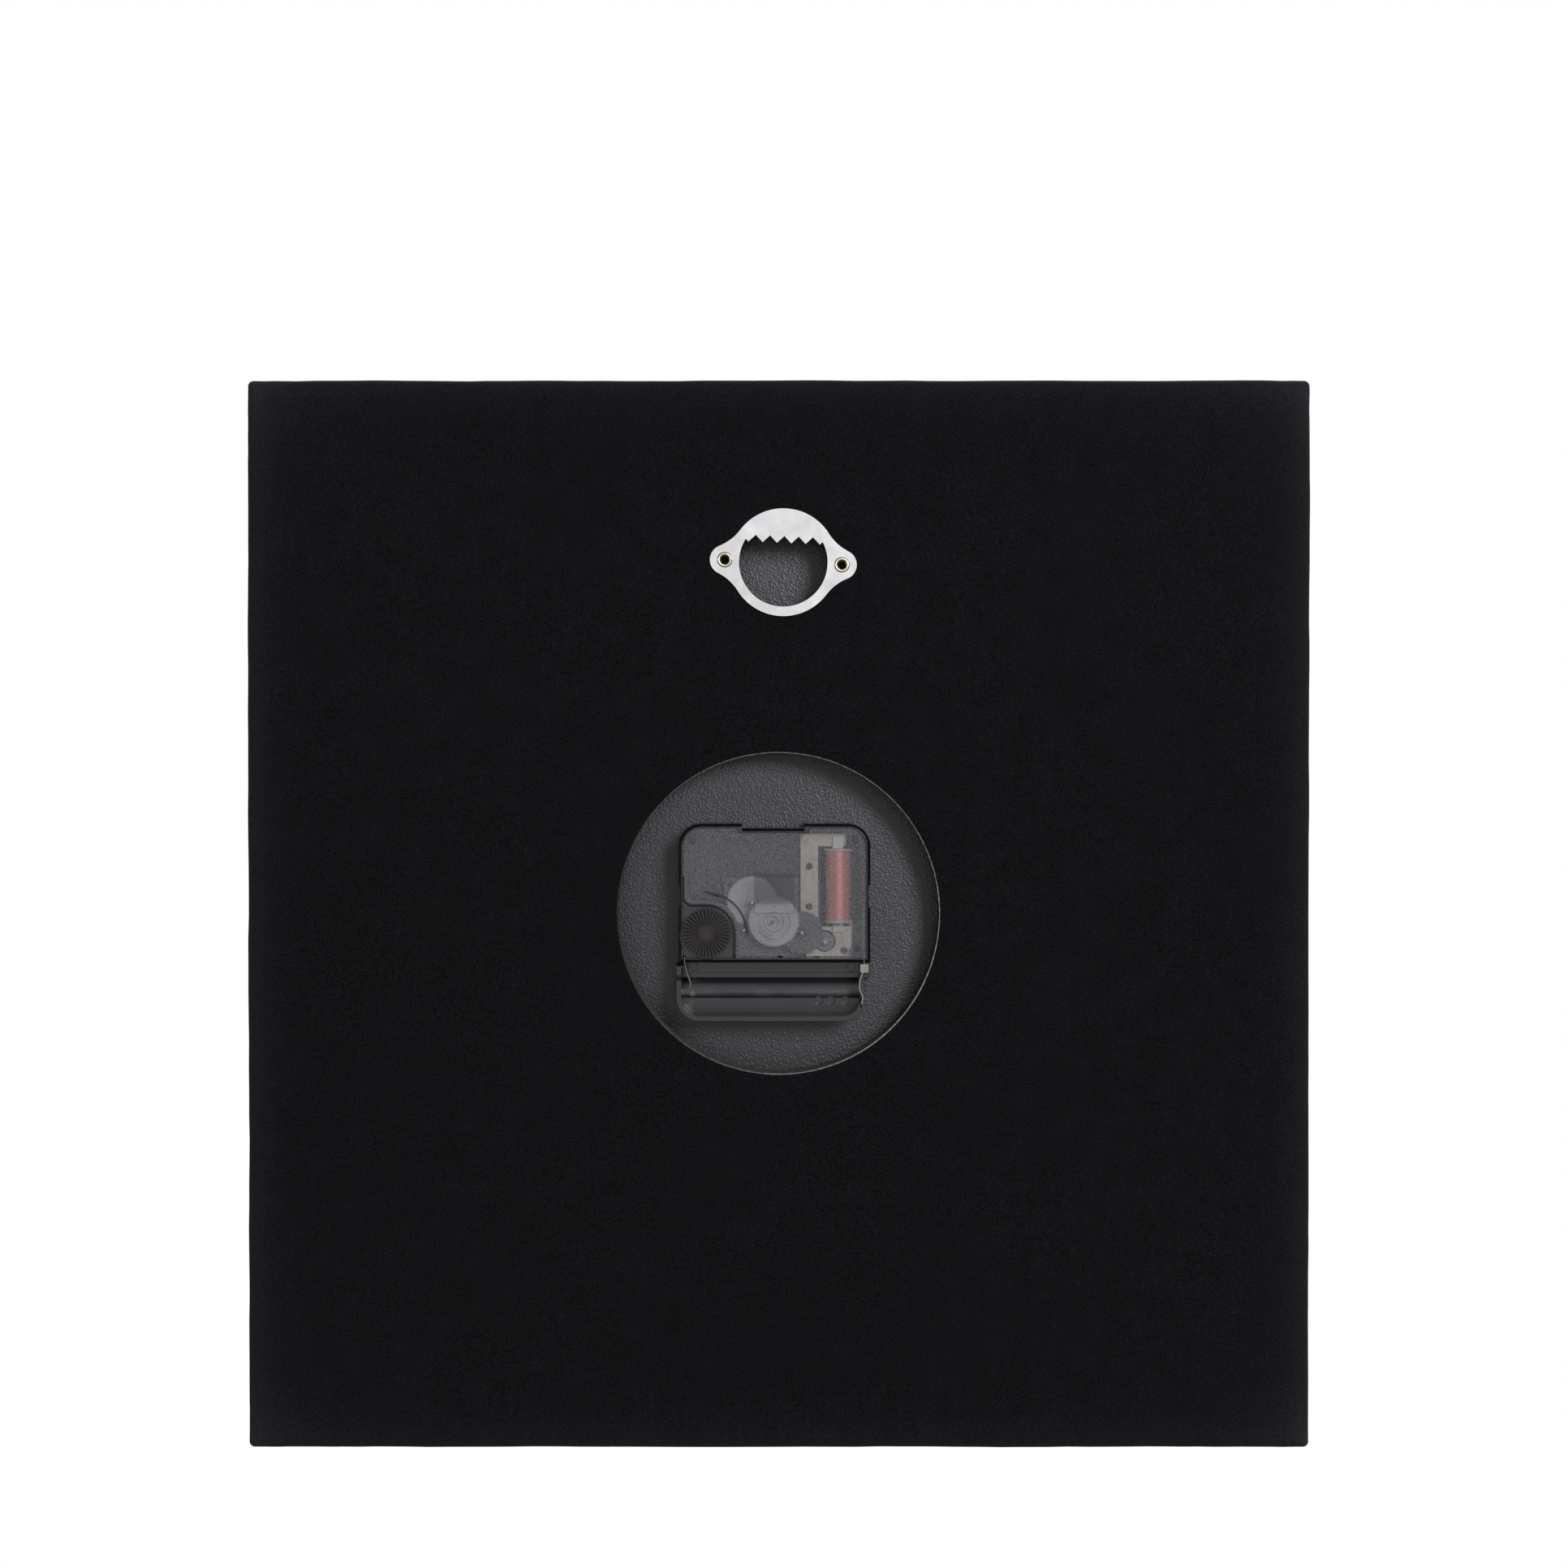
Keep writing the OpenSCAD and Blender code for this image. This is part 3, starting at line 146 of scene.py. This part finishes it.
# ================= node materials =================
class Paint:
    """A Principled material and short ways to add procedural detail. Sizes are in metres."""

    def __init__(self, name, **values):
        self.material = bpy.data.materials.new(name)
        self.material.use_nodes = True
        self.tree = self.material.node_tree
        self.shader = self.tree.nodes["Principled BSDF"]
        self.place = self.add("ShaderNodeTexCoord").outputs["Object"]
        self.normal = None
        for socket, value in values.items():
            self.set(socket.replace("_", " "), value)

    def add(self, kind, **settings):
        node = self.tree.nodes.new(kind)
        for name, value in settings.items():
            setattr(node, name, value)
        return node

    def set(self, socket, value):
        """Sets a socket of the shader to a plain value, or links an output to it."""
        target = self.shader.inputs[socket]
        if isinstance(value, bpy.types.NodeSocket):
            self.tree.links.new(value, target)
        else:
            target.default_value = value

    def feed(self, node, socket, value):
        if isinstance(value, bpy.types.NodeSocket):
            self.tree.links.new(value, node.inputs[socket])
        else:
            node.inputs[socket].default_value = value

    def stretched(self, factors):
        mapping = self.add("ShaderNodeMapping")
        self.feed(mapping, "Vector", self.place)
        mapping.inputs["Scale"].default_value = factors
        return mapping.outputs["Vector"]

    def along(self, axis):
        """The place's coordinate along that axis."""
        split = self.add("ShaderNodeSeparateXYZ")
        self.feed(split, 0, self.place)
        return split.outputs[axis]

    def noise(self, size, detail=2.0, roughness=0.5, distortion=0.0, place=None):
        node = self.add("ShaderNodeTexNoise")
        self.feed(node, "Vector", place or self.place)
        node.inputs["Scale"].default_value = 1 / size
        node.inputs["Detail"].default_value = detail
        node.inputs["Roughness"].default_value = roughness
        node.inputs["Distortion"].default_value = distortion
        return node.outputs["Fac"]

    def pebbles(self, size, place):
        """Rounded cells: the distance from each one's middle, in cell sizes."""
        node = self.add("ShaderNodeTexVoronoi", feature="SMOOTH_F1")
        self.feed(node, "Vector", place)
        node.inputs["Scale"].default_value = 1 / size
        node.inputs["Smoothness"].default_value = 0.7
        return node.outputs["Distance"]

    def fit(self, value, low, high, to_low=0.0, to_high=1.0):
        node = self.add("ShaderNodeMapRange")
        self.feed(node, "Value", value)
        limits = {"From Min": low, "From Max": high, "To Min": to_low, "To Max": to_high}
        for socket, limit in limits.items():
            node.inputs[socket].default_value = limit
        return node.outputs["Result"]

    def math(self, operation, a, b):
        node = self.add("ShaderNodeMath", operation=operation)
        self.feed(node, 0, a)
        self.feed(node, 1, b)
        return node.outputs["Value"]

    def blend(self, factor, a, b):
        """Mixes two colours, each a tuple or an output."""
        node = self.add("ShaderNodeMix", data_type="RGBA")
        self.feed(node, 0, factor)
        self.feed(node, 6, a)
        self.feed(node, 7, b)
        return node.outputs[2]

    def colour(self, tone, dark, light):
        """Sets the base colour between two colours, by a noise's tone."""
        self.set("Base Color", self.blend(self.fit(tone, 0.3, 0.7), dark, light))

    def attribute(self, name):
        return self.add("ShaderNodeAttribute", attribute_name=name).outputs["Fac"]

    def bump(self, height, depth):
        """Adds relief of that depth on top of any relief that is there already."""
        node = self.add("ShaderNodeBump")
        node.inputs["Strength"].default_value = 1
        node.inputs["Distance"].default_value = depth
        self.feed(node, "Height", height)
        if self.normal is not None:
            self.tree.links.new(self.normal, node.inputs["Normal"])
        self.normal = node.outputs["Normal"]
        self.set("Normal", self.normal)


# a faint blue cast for blacks
COOL = (1, 1, 1.15)


def grey(value, tint=(1.0, 1.0, 1.0)):
    return (value * tint[0], value * tint[1], value * tint[2], 1)


def felt_paint():
    """Short black pile, brushed unevenly, and painted paler where the mesh says so: partly rubbed pile and
    partly a painted sheen along the edges and corners.
    """
    paint = Paint("felt", Roughness=1.0, Specular_IOR_Level=0.15)
    paint.set("Sheen Weight", 0.09)
    paint.set("Sheen Roughness", 0.45)
    paint.set("Sheen Tint", (0.75, 0.78, 0.9, 1))
    nap = paint.noise(0.55 * MM, 3, 0.65)
    brushed = paint.noise(9 * MM, 3, 0.6, 0.6)
    pile = paint.fit(nap, 0.3, 0.7)
    dark = paint.blend(pile, grey(0.0006, COOL), grey(0.0112, COOL))
    light = paint.blend(pile, grey(0.0014, COOL), grey(0.0146, COOL))
    body = paint.blend(paint.fit(brushed, 0.3, 0.7), dark, light)
    # painted sheen and rubbed pile: the mesh's edge and corner marks mix the pile towards a paler grey
    rubbed_and_sheen = paint.math("MULTIPLY", paint.attribute("wear_and_sheen"), paint.fit(nap, 0.25, 0.75, 0.4, 1.0))
    paint.set("Base Color", paint.blend(rubbed_and_sheen, body, grey(0.044, (1, 0.98, 1.12))))
    paint.bump(paint.noise(4 * MM, 2, 0.5), 0.10 * MM)
    paint.bump(nap, 0.12 * MM)
    return paint.material


def backing_paint():
    """The felt's pale backing, painted paler towards -X, where the key light falls, and darker towards +X,
    as painted light and shade.
    """
    paint = Paint("backing", Roughness=0.9, Specular_IOR_Level=0.2)
    fibre = paint.noise(0.8 * MM, 4, 0.7)
    # painted light and shade: paler towards -X, the key light's side, darker towards +X
    painted_lit_side = paint.fit(paint.along("X"), RECESS.x + 45 * MM, RECESS.x - 45 * MM)
    dark = paint.blend(painted_lit_side, grey(0.030), grey(0.16))
    pale = paint.blend(painted_lit_side, grey(0.060), grey(0.50))
    paint.set("Base Color", paint.blend(paint.fit(fibre, 0.35, 0.65), dark, pale))
    paint.bump(fibre, 0.05 * MM)
    return paint.material


def leather_grain(paint, size, depth):
    """Pebbled, slightly wrinkled leather relief."""
    warp = paint.add("ShaderNodeVectorMath", operation="ADD")
    wobble = paint.add("ShaderNodeTexNoise")
    paint.feed(wobble, "Vector", paint.place)
    wobble.inputs["Scale"].default_value = 0.6 / size
    spread = paint.add("ShaderNodeVectorMath", operation="SCALE")
    paint.feed(spread, 0, wobble.outputs["Color"])
    spread.inputs["Scale"].default_value = 1.1 * size
    paint.feed(warp, 0, paint.place)
    paint.feed(warp, 1, spread.outputs["Vector"])
    pebbles = paint.pebbles(size, warp.outputs["Vector"])
    fine = paint.noise(size * 0.45, 3, 0.6)
    paint.bump(paint.fit(pebbles, 0.0, 0.75), depth)
    paint.bump(fine, depth * 0.5)
    return pebbles, fine


def grained_sheet_paint():
    """The recess's dark floor, with a fine leather grain."""
    paint = Paint("grained_sheet", Roughness=0.31, Specular_IOR_Level=0.62)
    pebbles, fine = leather_grain(paint, 0.55 * MM, 0.047 * MM)
    raised = paint.fit(pebbles, 0.1, 0.8, 1.0, 0.55)
    tone = paint.math("MULTIPLY", raised, paint.fit(fine, 0.3, 0.7, 0.75, 1.0))
    paint.set("Base Color", paint.blend(tone, grey(0.007, COOL), grey(0.027, COOL)))
    return paint.material


def leatherette_paint():
    """The dial's coarser, blacker leather grain."""
    paint = Paint("leatherette", Roughness=0.42, Specular_IOR_Level=0.45)
    pebbles, fine = leather_grain(paint, 1.6 * MM, 0.18 * MM)
    paint.set("Base Color", paint.blend(paint.fit(pebbles, 0.1, 0.8), grey(0.026), grey(0.012)))
    paint.set("Roughness", paint.fit(fine, 0.3, 0.7, 0.36, 0.52))
    return paint.material


def fibreboard_paint():
    """The board's cut edge around the recess."""
    paint = Paint("fibreboard", Roughness=0.95, Specular_IOR_Level=0.2)
    fibre = paint.noise(1.2 * MM, 4, 0.7, place=paint.stretched((1, 4, 1)))
    paint.colour(fibre, grey(0.11), grey(0.18))
    paint.bump(fibre, 0.15 * MM)
    return paint.material


def metal_paint(name, colour, roughness, grain=0.0, direction=(1, 1, 1), relief=0.0):
    """Plated or bare metal with fine scratches along one direction."""
    paint = Paint(name, Metallic=1.0)
    smudge = paint.noise(6 * MM, 3, 0.6)
    scratches = paint.noise(0.25 * MM, 2, 0.6, place=paint.stretched(direction))
    spread = paint.fit(smudge, 0.3, 0.7, roughness * 0.85, roughness * 1.2)
    paint.set("Roughness", paint.math("ADD", spread, paint.fit(scratches, 0.35, 0.65, 0, grain)))
    deep = tuple(0.86 * c for c in colour) + (1,)
    paint.set("Base Color", paint.blend(paint.fit(smudge, 0.25, 0.75), deep, (*colour, 1)))
    if relief:
        paint.bump(scratches, relief)
    return paint.material


def plastic_paint(name, colour, roughness, texture=0.01 * MM, mottle=0.15, specular=0.5, edge=0):
    """Moulded plastic: faint colour variation, a fine spark-eroded texture and, if stated, rounded edges."""
    paint = Paint(name, Specular_IOR_Level=specular)
    if edge:
        rounded = paint.add("ShaderNodeBevel", samples=6)
        rounded.inputs["Radius"].default_value = edge
        paint.normal = rounded.outputs["Normal"]
    fine = paint.noise(0.12 * MM, 2, 0.6)
    broad = paint.noise(5 * MM, 3, 0.5)
    low = tuple(c * (1 - mottle) for c in colour) + (1,)
    high = tuple(c * (1 + mottle) for c in colour) + (1,)
    paint.colour(broad, low, high)
    paint.set("Roughness", paint.fit(broad, 0.25, 0.75, roughness * 0.85, roughness * 1.15))
    paint.bump(fine, texture)
    return paint.material


# the cover's marks stand this high, and its blank plate is sunk by as much
MARK_HEIGHT = 0.25 * MM


def smoked_paint():
    """Frosted, smoked clear plastic, thin enough that pale parts show through it."""
    paint = Paint("smoked_plastic", Specular_IOR_Level=0.5)
    speckle = paint.noise(0.42 * MM, 2, 0.6)
    cloud = paint.noise(7 * MM, 3, 0.55)
    tint = (1, 0.98, 1.07)
    frost = paint.blend(paint.fit(speckle, 0.38, 0.62), grey(0.14, tint), grey(0.42, tint))
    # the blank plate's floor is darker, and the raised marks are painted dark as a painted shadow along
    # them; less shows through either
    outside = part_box("rear_cover")[1].y - MARK_HEIGHT
    height = paint.math("SUBTRACT", paint.along("Y"), outside)
    off_plate = paint.math("ABSOLUTE", paint.math("ADD", height, MARK_HEIGHT), 0)
    plate = paint.fit(off_plate, 0.05 * MM, 0.12 * MM, 1, 0)
    painted_mark_shadow = paint.fit(height, 0.06 * MM, 0.2 * MM)
    with_plate = paint.blend(plate, frost, grey(0.09, tint))
    paint.set("Base Color", paint.blend(painted_mark_shadow, with_plate, grey(0.07, tint)))
    paint.set("Roughness", paint.fit(cloud, 0.3, 0.7, 0.30, 0.40))
    thin = paint.fit(speckle, 0.36, 0.64, 0.15, 0.25)
    thick = paint.math("MULTIPLY", paint.math("MAXIMUM", plate, painted_mark_shadow), 0.55)
    paint.set("Alpha", paint.math("MAXIMUM", thin, thick))
    paint.bump(speckle, 0.04 * MM)
    return paint.material


def wire_paint():
    """Enamelled copper wire in close turns along the coil."""
    paint = Paint("enamelled_wire", Metallic=0.3, Roughness=0.45)
    tone = paint.noise(1.5 * MM, 3, 0.6, place=paint.stretched((1, 1, 8)))
    paint.colour(tone, (0.60, 0.20, 0.17, 1), (0.88, 0.37, 0.31, 1))
    paint.bump(paint.noise(0.18 * MM, 1, 0.5, place=paint.stretched((0.05, 0.05, 1))), 0.03 * MM)
    return paint.material


def knob_paint():
    """Dark brown plastic, glossier along the tops of its ridges and duller between them, with a painted
    highlight on the ridge tops and painted shade between them.
    """
    paint = Paint("knob_plastic", Specular_IOR_Level=0.4)
    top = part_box("setting_knob")[1].y
    height = paint.fit(paint.along("Y"), top - 0.55 * MM, top - 0.05 * MM)
    uneven = paint.fit(paint.noise(1.5 * MM, 3, 0.6), 0.3, 0.7, 0.6, 1.0)
    # painted highlight on the ridge tops, painted shade between the ridges
    ridge_highlight = paint.math("MULTIPLY", height, uneven)
    dark, light = (0.003, 0.002, 0.002, 1), (0.036, 0.024, 0.022, 1)
    paint.set("Base Color", paint.blend(ridge_highlight, dark, light))
    paint.set("Roughness", paint.fit(height, 0.0, 1.0, 0.6, 0.25))
    return paint.material


def board_paint():
    """Brown circuit board laminate."""
    paint = Paint("board_laminate", Roughness=0.5)
    weave = paint.noise(0.4 * MM, 2, 0.5)
    paint.colour(weave, (0.05, 0.034, 0.018, 1), (0.09, 0.06, 0.03, 1))
    paint.bump(weave, 0.01 * MM)
    return paint.material


def stator_paint():
    """The stator's dull, cream-coloured plating."""
    paint = Paint("stator_cream", Metallic=0.2, Roughness=0.45)
    tone = paint.noise(2 * MM, 3, 0.6)
    paint.colour(tone, (0.46, 0.41, 0.33, 1), (0.60, 0.56, 0.48, 1))
    paint.bump(tone, 0.01 * MM)
    return paint.material


def make_paints():
    """One Blender material for each of the record's material slots."""
    return {
        "fibreboard": fibreboard_paint(),
        "felt": felt_paint(),
        "backing_sheet": backing_paint(),
        "grained_sheet": grained_sheet_paint(),
        "leatherette": leatherette_paint(),
        "bright_trim": metal_paint("bright_trim", (0.82, 0.82, 0.84), 0.24, 0.12, (1, 1, 12), 0.004 * MM),
        "nickel_plate": metal_paint("nickel_plate", (0.90, 0.89, 0.88), 0.15, 0.05, (1, 1, 5), 0.003 * MM),
        "rivet_brass": metal_paint("rivet_brass", (0.93, 0.84, 0.62), 0.33, 0.05),
        "fitting_brass": metal_paint("fitting_brass", (0.80, 0.60, 0.30), 0.28, 0.08),
        "housing_plastic": plastic_paint(
            "housing_plastic", (0.009, 0.009, 0.011), 0.2, specular=0.8, edge=0.2 * MM
        ),
        "smoked_plastic": smoked_paint(),
        "natural_plastic": plastic_paint("natural_plastic", (0.52, 0.51, 0.51), 0.38, mottle=0.08),
        "plate_plastic": plastic_paint("plate_plastic", (0.085, 0.085, 0.09), 0.4),
        "arrow_ink": plastic_paint("arrow_ink", (0.012, 0.012, 0.013), 0.45),
        "black_rubber": plastic_paint("black_rubber", (0.014, 0.014, 0.014), 0.7, 0.03 * MM),
        "board_laminate": board_paint(),
        "black_resin": plastic_paint("black_resin", (0.008, 0.008, 0.008), 0.3),
        "enamelled_wire": wire_paint(),
        "soft_iron": metal_paint("soft_iron", (0.45, 0.44, 0.43), 0.4, 0.1),
        "stator_cream": stator_paint(),
        "contact_steel": metal_paint("contact_steel", (0.30, 0.28, 0.25), 0.26, 0.06, (6, 1, 1)),
        "magnet_dark": metal_paint("magnet_dark", (0.16, 0.16, 0.17), 0.45),
        "arbor_steel": metal_paint("arbor_steel", (0.62, 0.62, 0.62), 0.2),
        "knob_plastic": knob_paint(),
        "hand_aluminium": metal_paint(
            "hand_aluminium", (0.84, 0.84, 0.85), 0.26, 0.14, (1, 1, 9), 0.003 * MM
        ),
    }


# ================= CAD nodes =================
# how wide each piece's edges are rounded, in millimetres; a piece that isn't named takes SMALL_EDGE
EDGES = {
    "rear_cover": 0.07,
    "hanger_plate": 0.38,
    "hanger_rivets": 0.06,
    "setting_knob": 0.07,
    "hour_markers": 0.18,
    "numerals": 0.22,
    "hour_hand": 0.12,
    "minute_hand": 0.12,
    "fixing_nut": 0.25,
    "brass_washer": 0.12,
    "rubber_washer": 0.2,
}
SMALL_EDGE = 0.05
# how far each face of a piece is pushed outwards, in millimetres
SWELL = {"cover_arrow": 0.14}
# these keep the CAD model's own shading, and their edges are rounded in their material
EXACT = {"front_housing"}
SHARP_ANGLE = math.radians(32)


def soften(obj, width, swell):
    """Rounds the edges of a CAD node with modifiers, which leave its own mesh as it is."""
    weld = obj.modifiers.new("weld", "WELD")
    weld.merge_threshold = 0.001 * MM
    if swell:
        push = obj.modifiers.new("push", "DISPLACE")
        push.mid_level = 0
        push.strength = swell
    bevel = obj.modifiers.new("bevel", "BEVEL")
    bevel.width = width
    bevel.segments = 2
    bevel.limit_method = "ANGLE"
    bevel.angle_limit = SHARP_ANGLE
    bevel.use_clamp_overlap = True
    bevel.harden_normals = False
    shade = obj.modifiers.new("shade", "WEIGHTED_NORMAL")
    shade.weight = 100
    shade.keep_sharp = True


def finish_nodes(paints):
    """Gives each CAD node its slot's material and its softened edges."""
    for name, obj in nodes.items():
        slot = obj.data.materials[0].name.split(".")[0]
        obj.data.materials[0] = paints[slot]
        if name not in EXACT:
            soften(obj, EDGES.get(name, SMALL_EDGE) * MM, SWELL.get(name, 0) * MM)


# ================= felt =================
RECESS_RADIUS = 45.75 * MM
POCKET_RADIUS = 14 * MM
RIVET_HOLE_RADIUS = 1.7 * MM
FELT_THICKNESS = 0.8 * MM
EDGE_RADIUS = 4 * MM
CORNER_RADIUS = 1.6 * MM
FELT_STEP = 3 * MM
# the flat part of the felt stops this far inside the panel's outline
FLAT_INSET = EDGE_RADIUS + 1.5 * MM


def side_stations():
    """Places along a side, from -1 to 1, that crowd together near the corners."""
    count = 64
    short_of_corner = 0.995
    return [
        math.sin(math.pi / 2 * (2 * i / count - 1) * short_of_corner) for i in range(count + 1)
    ]


def square_loop(inset):
    """One ring of the cover, as (x, z) about the panel's centre, counter-clockwise."""
    half_x = (FELT_HIGH.x - FELT_LOW.x) / 2 - inset
    half_z = (FELT_HIGH.z - FELT_LOW.z) / 2 - inset
    # the corners get tighter further in
    corner = max(CORNER_RADIUS - 0.7 * inset, 0.5 * MM)
    points = []
    for turn in range(4):
        across, along = (half_x, half_z) if turn % 2 == 0 else (half_z, half_x)
        side = [(across, s * (along - corner)) for s in side_stations()]
        round_off = [
            (across - corner + corner * math.cos(a), along - corner + corner * math.sin(a))
            for a in (math.radians(15 * k) for k in range(1, 6))
        ]
        cos_t, sin_t = round(math.cos(turn * math.pi / 2)), round(math.sin(turn * math.pi / 2))
        points += [(x * cos_t - z * sin_t, x * sin_t + z * cos_t) for x, z in side + round_off]
    return points


def circle_loop(centre, radius, count):
    angles = [2 * math.pi * i / count for i in range(count)]
    return [(centre[0] + radius * math.cos(a), centre[1] + radius * math.sin(a)) for a in angles]


def rivet_points():
    """The two rivets' places about the panel's centre."""
    low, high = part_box("hanger_rivets")
    flange = 2.2 * MM
    reach = Vector((high.x - RING.x - flange, high.z - RING.z - flange))
    ring = Vector((RING.x - PANEL.x, RING.z - PANEL.z))
    return [ring + reach, ring - reach]


def flat_field(outline, holes):
    """Triangles that fill the outline around the holes, on an even grid of points."""
    points = list(outline)
    loops = [list(range(len(outline)))]
    for hole in holes:
        first = len(points)
        points += hole["loop"]
        loops.append(list(range(first, len(points)))[::-1])
    edge_limit = max(x for x, _ in outline) - FELT_STEP * 0.6
    count = int(edge_limit / FELT_STEP)
    for i in range(-count, count + 1):
        for k in range(-count, count + 1):
            x, z = (i + 0.5 * (k % 2)) * FELT_STEP, k * FELT_STEP
            clear = all(math.dist((x, z), h["centre"]) > h["radius"] + FELT_STEP * 0.5 for h in holes)
            if clear and abs(x) < edge_limit and abs(z) < edge_limit:
                points.append((x, z))
    flat = [Vector(p) for p in points]
    out = delaunay_2d_cdt(flat, [], loops, 2, 1e-7)
    return [tuple(v) for v in out[0]], out[2]


def felt_height(x, z):
    """How far the felt swells from its flat plane."""
    slow = noise.noise(Vector((x, z, 0.0)) / (34 * MM))
    quick = noise.noise(Vector((x, z, 0.3)) / (9 * MM))
    return (0.16 * slow + 0.05 * quick) * MM


def edge_wander(x, y, z):
    """How far the cover's sides wander in and out."""
    slow = noise.noise(Vector((x, y, z)) / (26 * MM))
    quick = noise.noise(Vector((x, y, z)) / (5 * MM))
    return (0.26 * slow + 0.14 * quick) * MM


def edge_rings():
    """(inset, y, how much of the outward direction is sideways) from the dial side to the flat back."""
    front, back = FELT_LOW.y, FELT_HIGH.y
    rings = [(0.0, front + d * MM, 1.0) for d in (0.0, 2.5, 5.5, 8.5, 11.5, 14.0)]
    steps = 8
    for k in range(steps + 1):
        a = math.radians(90 * k / steps)
        inset, drop = EDGE_RADIUS * (1 - math.cos(a)), EDGE_RADIUS * (1 - math.sin(a))
        rings.append((inset, back - drop, math.cos(a)))
    rings.append((FLAT_INSET, back, 0.0))
    return rings


def lip_rings():
    """(how far outside the hole's edge, how deep) down the cut edge of a hole in the felt."""
    lip = 0.3 * MM
    angles = [math.radians(22.5 * k) for k in range(5)]
    rings = [(lip * (1 - math.sin(a)), lip * (1 - math.cos(a))) for a in angles]
    return rings + [(0.0, FELT_THICKNESS - 0.03 * MM)]


def build_felt():
    """The felt as a closed sheet: a swelling field, rounded edges and corners, and cut holes."""
    outline = square_loop(FLAT_INSET)
    holes = [
        {"centre": (RECESS.x - PANEL.x, RECESS.z - PANEL.z), "radius": RECESS_RADIUS, "count": 220},
        {"centre": (RING.x - PANEL.x, RING.z - PANEL.z), "radius": POCKET_RADIUS, "count": 96},
    ]
    for point in rivet_points():
        holes.append({"centre": tuple(point), "radius": RIVET_HOLE_RADIUS, "count": 20})
    lip = lip_rings()
    for hole in holes:
        hole["loop"] = circle_loop(hole["centre"], hole["radius"] + lip[0][0], hole["count"])
    points, faces = flat_field(outline, holes)

    bm = bmesh.new()
    back = FELT_HIGH.y
    verts = [bm.verts.new((PANEL.x + x, back + felt_height(x, z), PANEL.z + z)) for x, z in points]
    for face in faces:
        bm.faces.new([verts[i] for i in face])

    def ring_of(loop, place):
        return [bm.verts.new(place(x, z)) for x, z in loop]

    def bridge(first, second):
        count = len(first)
        for i in range(count):
            bm.faces.new((first[i], first[(i + 1) % count], second[(i + 1) % count], second[i]))

    # the sides: from the edge of the flat field out, over and down to the dial side
    above = verts[: len(outline)]
    for inset, y, sideways in edge_rings()[-2::-1]:
        def place(x, z, y=y, sideways=sideways):
            out = Vector((x, z)).normalized() if sideways else Vector((0, 0))
            wander = edge_wander(x, y, z) * sideways
            lift = felt_height(x, z) * (1 - sideways)
            return (PANEL.x + x + out.x * wander, y + lift, PANEL.z + z + out.y * wander)

        below = ring_of(square_loop(inset), place)
        bridge(above, below)
        above = below

    # the cut edges of the holes
    first = len(outline)
    for hole in holes:
        above = verts[first: first + hole["count"]]
        for outside, depth in lip[1:]:
            loop = circle_loop(hole["centre"], hole["radius"] + outside, hole["count"])

            def place(x, z, depth=depth, hole=hole):
                out = Vector((x - hole["centre"][0], z - hole["centre"][1])).normalized()
                out *= 0.05 * MM * noise.noise(Vector((x, z, depth)) / (0.9 * MM))
                y = back + felt_height(x, z) * 0.5 - depth
                return (PANEL.x + x + out.x, y, PANEL.z + z + out.y)

            below = ring_of(loop, place)
            bridge(above, below)
            above = below
        first += hole["count"]

    bmesh.ops.recalc_face_normals(bm, faces=bm.faces)
    bm.verts.ensure_lookup_table()
    if sum(f.normal.y * f.calc_area() for f in bm.faces) < 0:
        bmesh.ops.reverse_faces(bm, faces=bm.faces)
    mesh = bpy.data.meshes.new("felt_sheet")
    bm.to_mesh(mesh)
    bm.free()
    mesh.shade_smooth()
    add_wear_and_sheen(mesh)
    felt = bpy.data.objects.new("felt_sheet", mesh)
    bpy.context.scene.collection.objects.link(felt)
    thick = felt.modifiers.new("thickness", "SOLIDIFY")
    thick.thickness = FELT_THICKNESS - 0.1 * MM
    thick.offset = -1
    return felt


def fading(distance, reach):
    """1 at no distance, and less and less further away."""
    return math.exp(-distance / reach)


def add_wear_and_sheen(mesh):
    """Marks where the felt is painted paler, partly rubbed pile and partly a painted sheen of grazing light:
    along the panel's edges and most at its corners.
    """
    half = (FELT_HIGH - FELT_LOW) / 2
    wear_and_sheen = mesh.attributes.new("wear_and_sheen", "FLOAT", "POINT")
    values = np.zeros(len(mesh.vertices), np.float32)
    for i, vertex in enumerate(mesh.vertices):
        from_x = max(half.x - abs(vertex.co.x - PANEL.x), 0)
        from_z = max(half.z - abs(vertex.co.z - PANEL.z), 0)
        from_corner = math.hypot(from_x, from_z)
        side = max(0.62 * fading(from_x, 4 * MM), 0.42 * fading(from_z, 4 * MM))
        corner = 0.75 * fading(from_corner, 8 * MM) + 0.07 * fading(from_corner, 60 * MM)
        values[i] = min(1, side + corner)
    wear_and_sheen.data.foreach_set("value", values)


def add_felt(paints):
    felt = build_felt()
    felt.data.materials.append(paints["felt"])
    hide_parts("felt_cover")
    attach(felt, "case")


# ================= build =================
bpy.context.scene.view_settings.view_transform = "Standard"
add_camera()
add_lights()
add_world()
add_floor()
all_paints = make_paints()
finish_nodes(all_paints)
add_felt(all_paints)
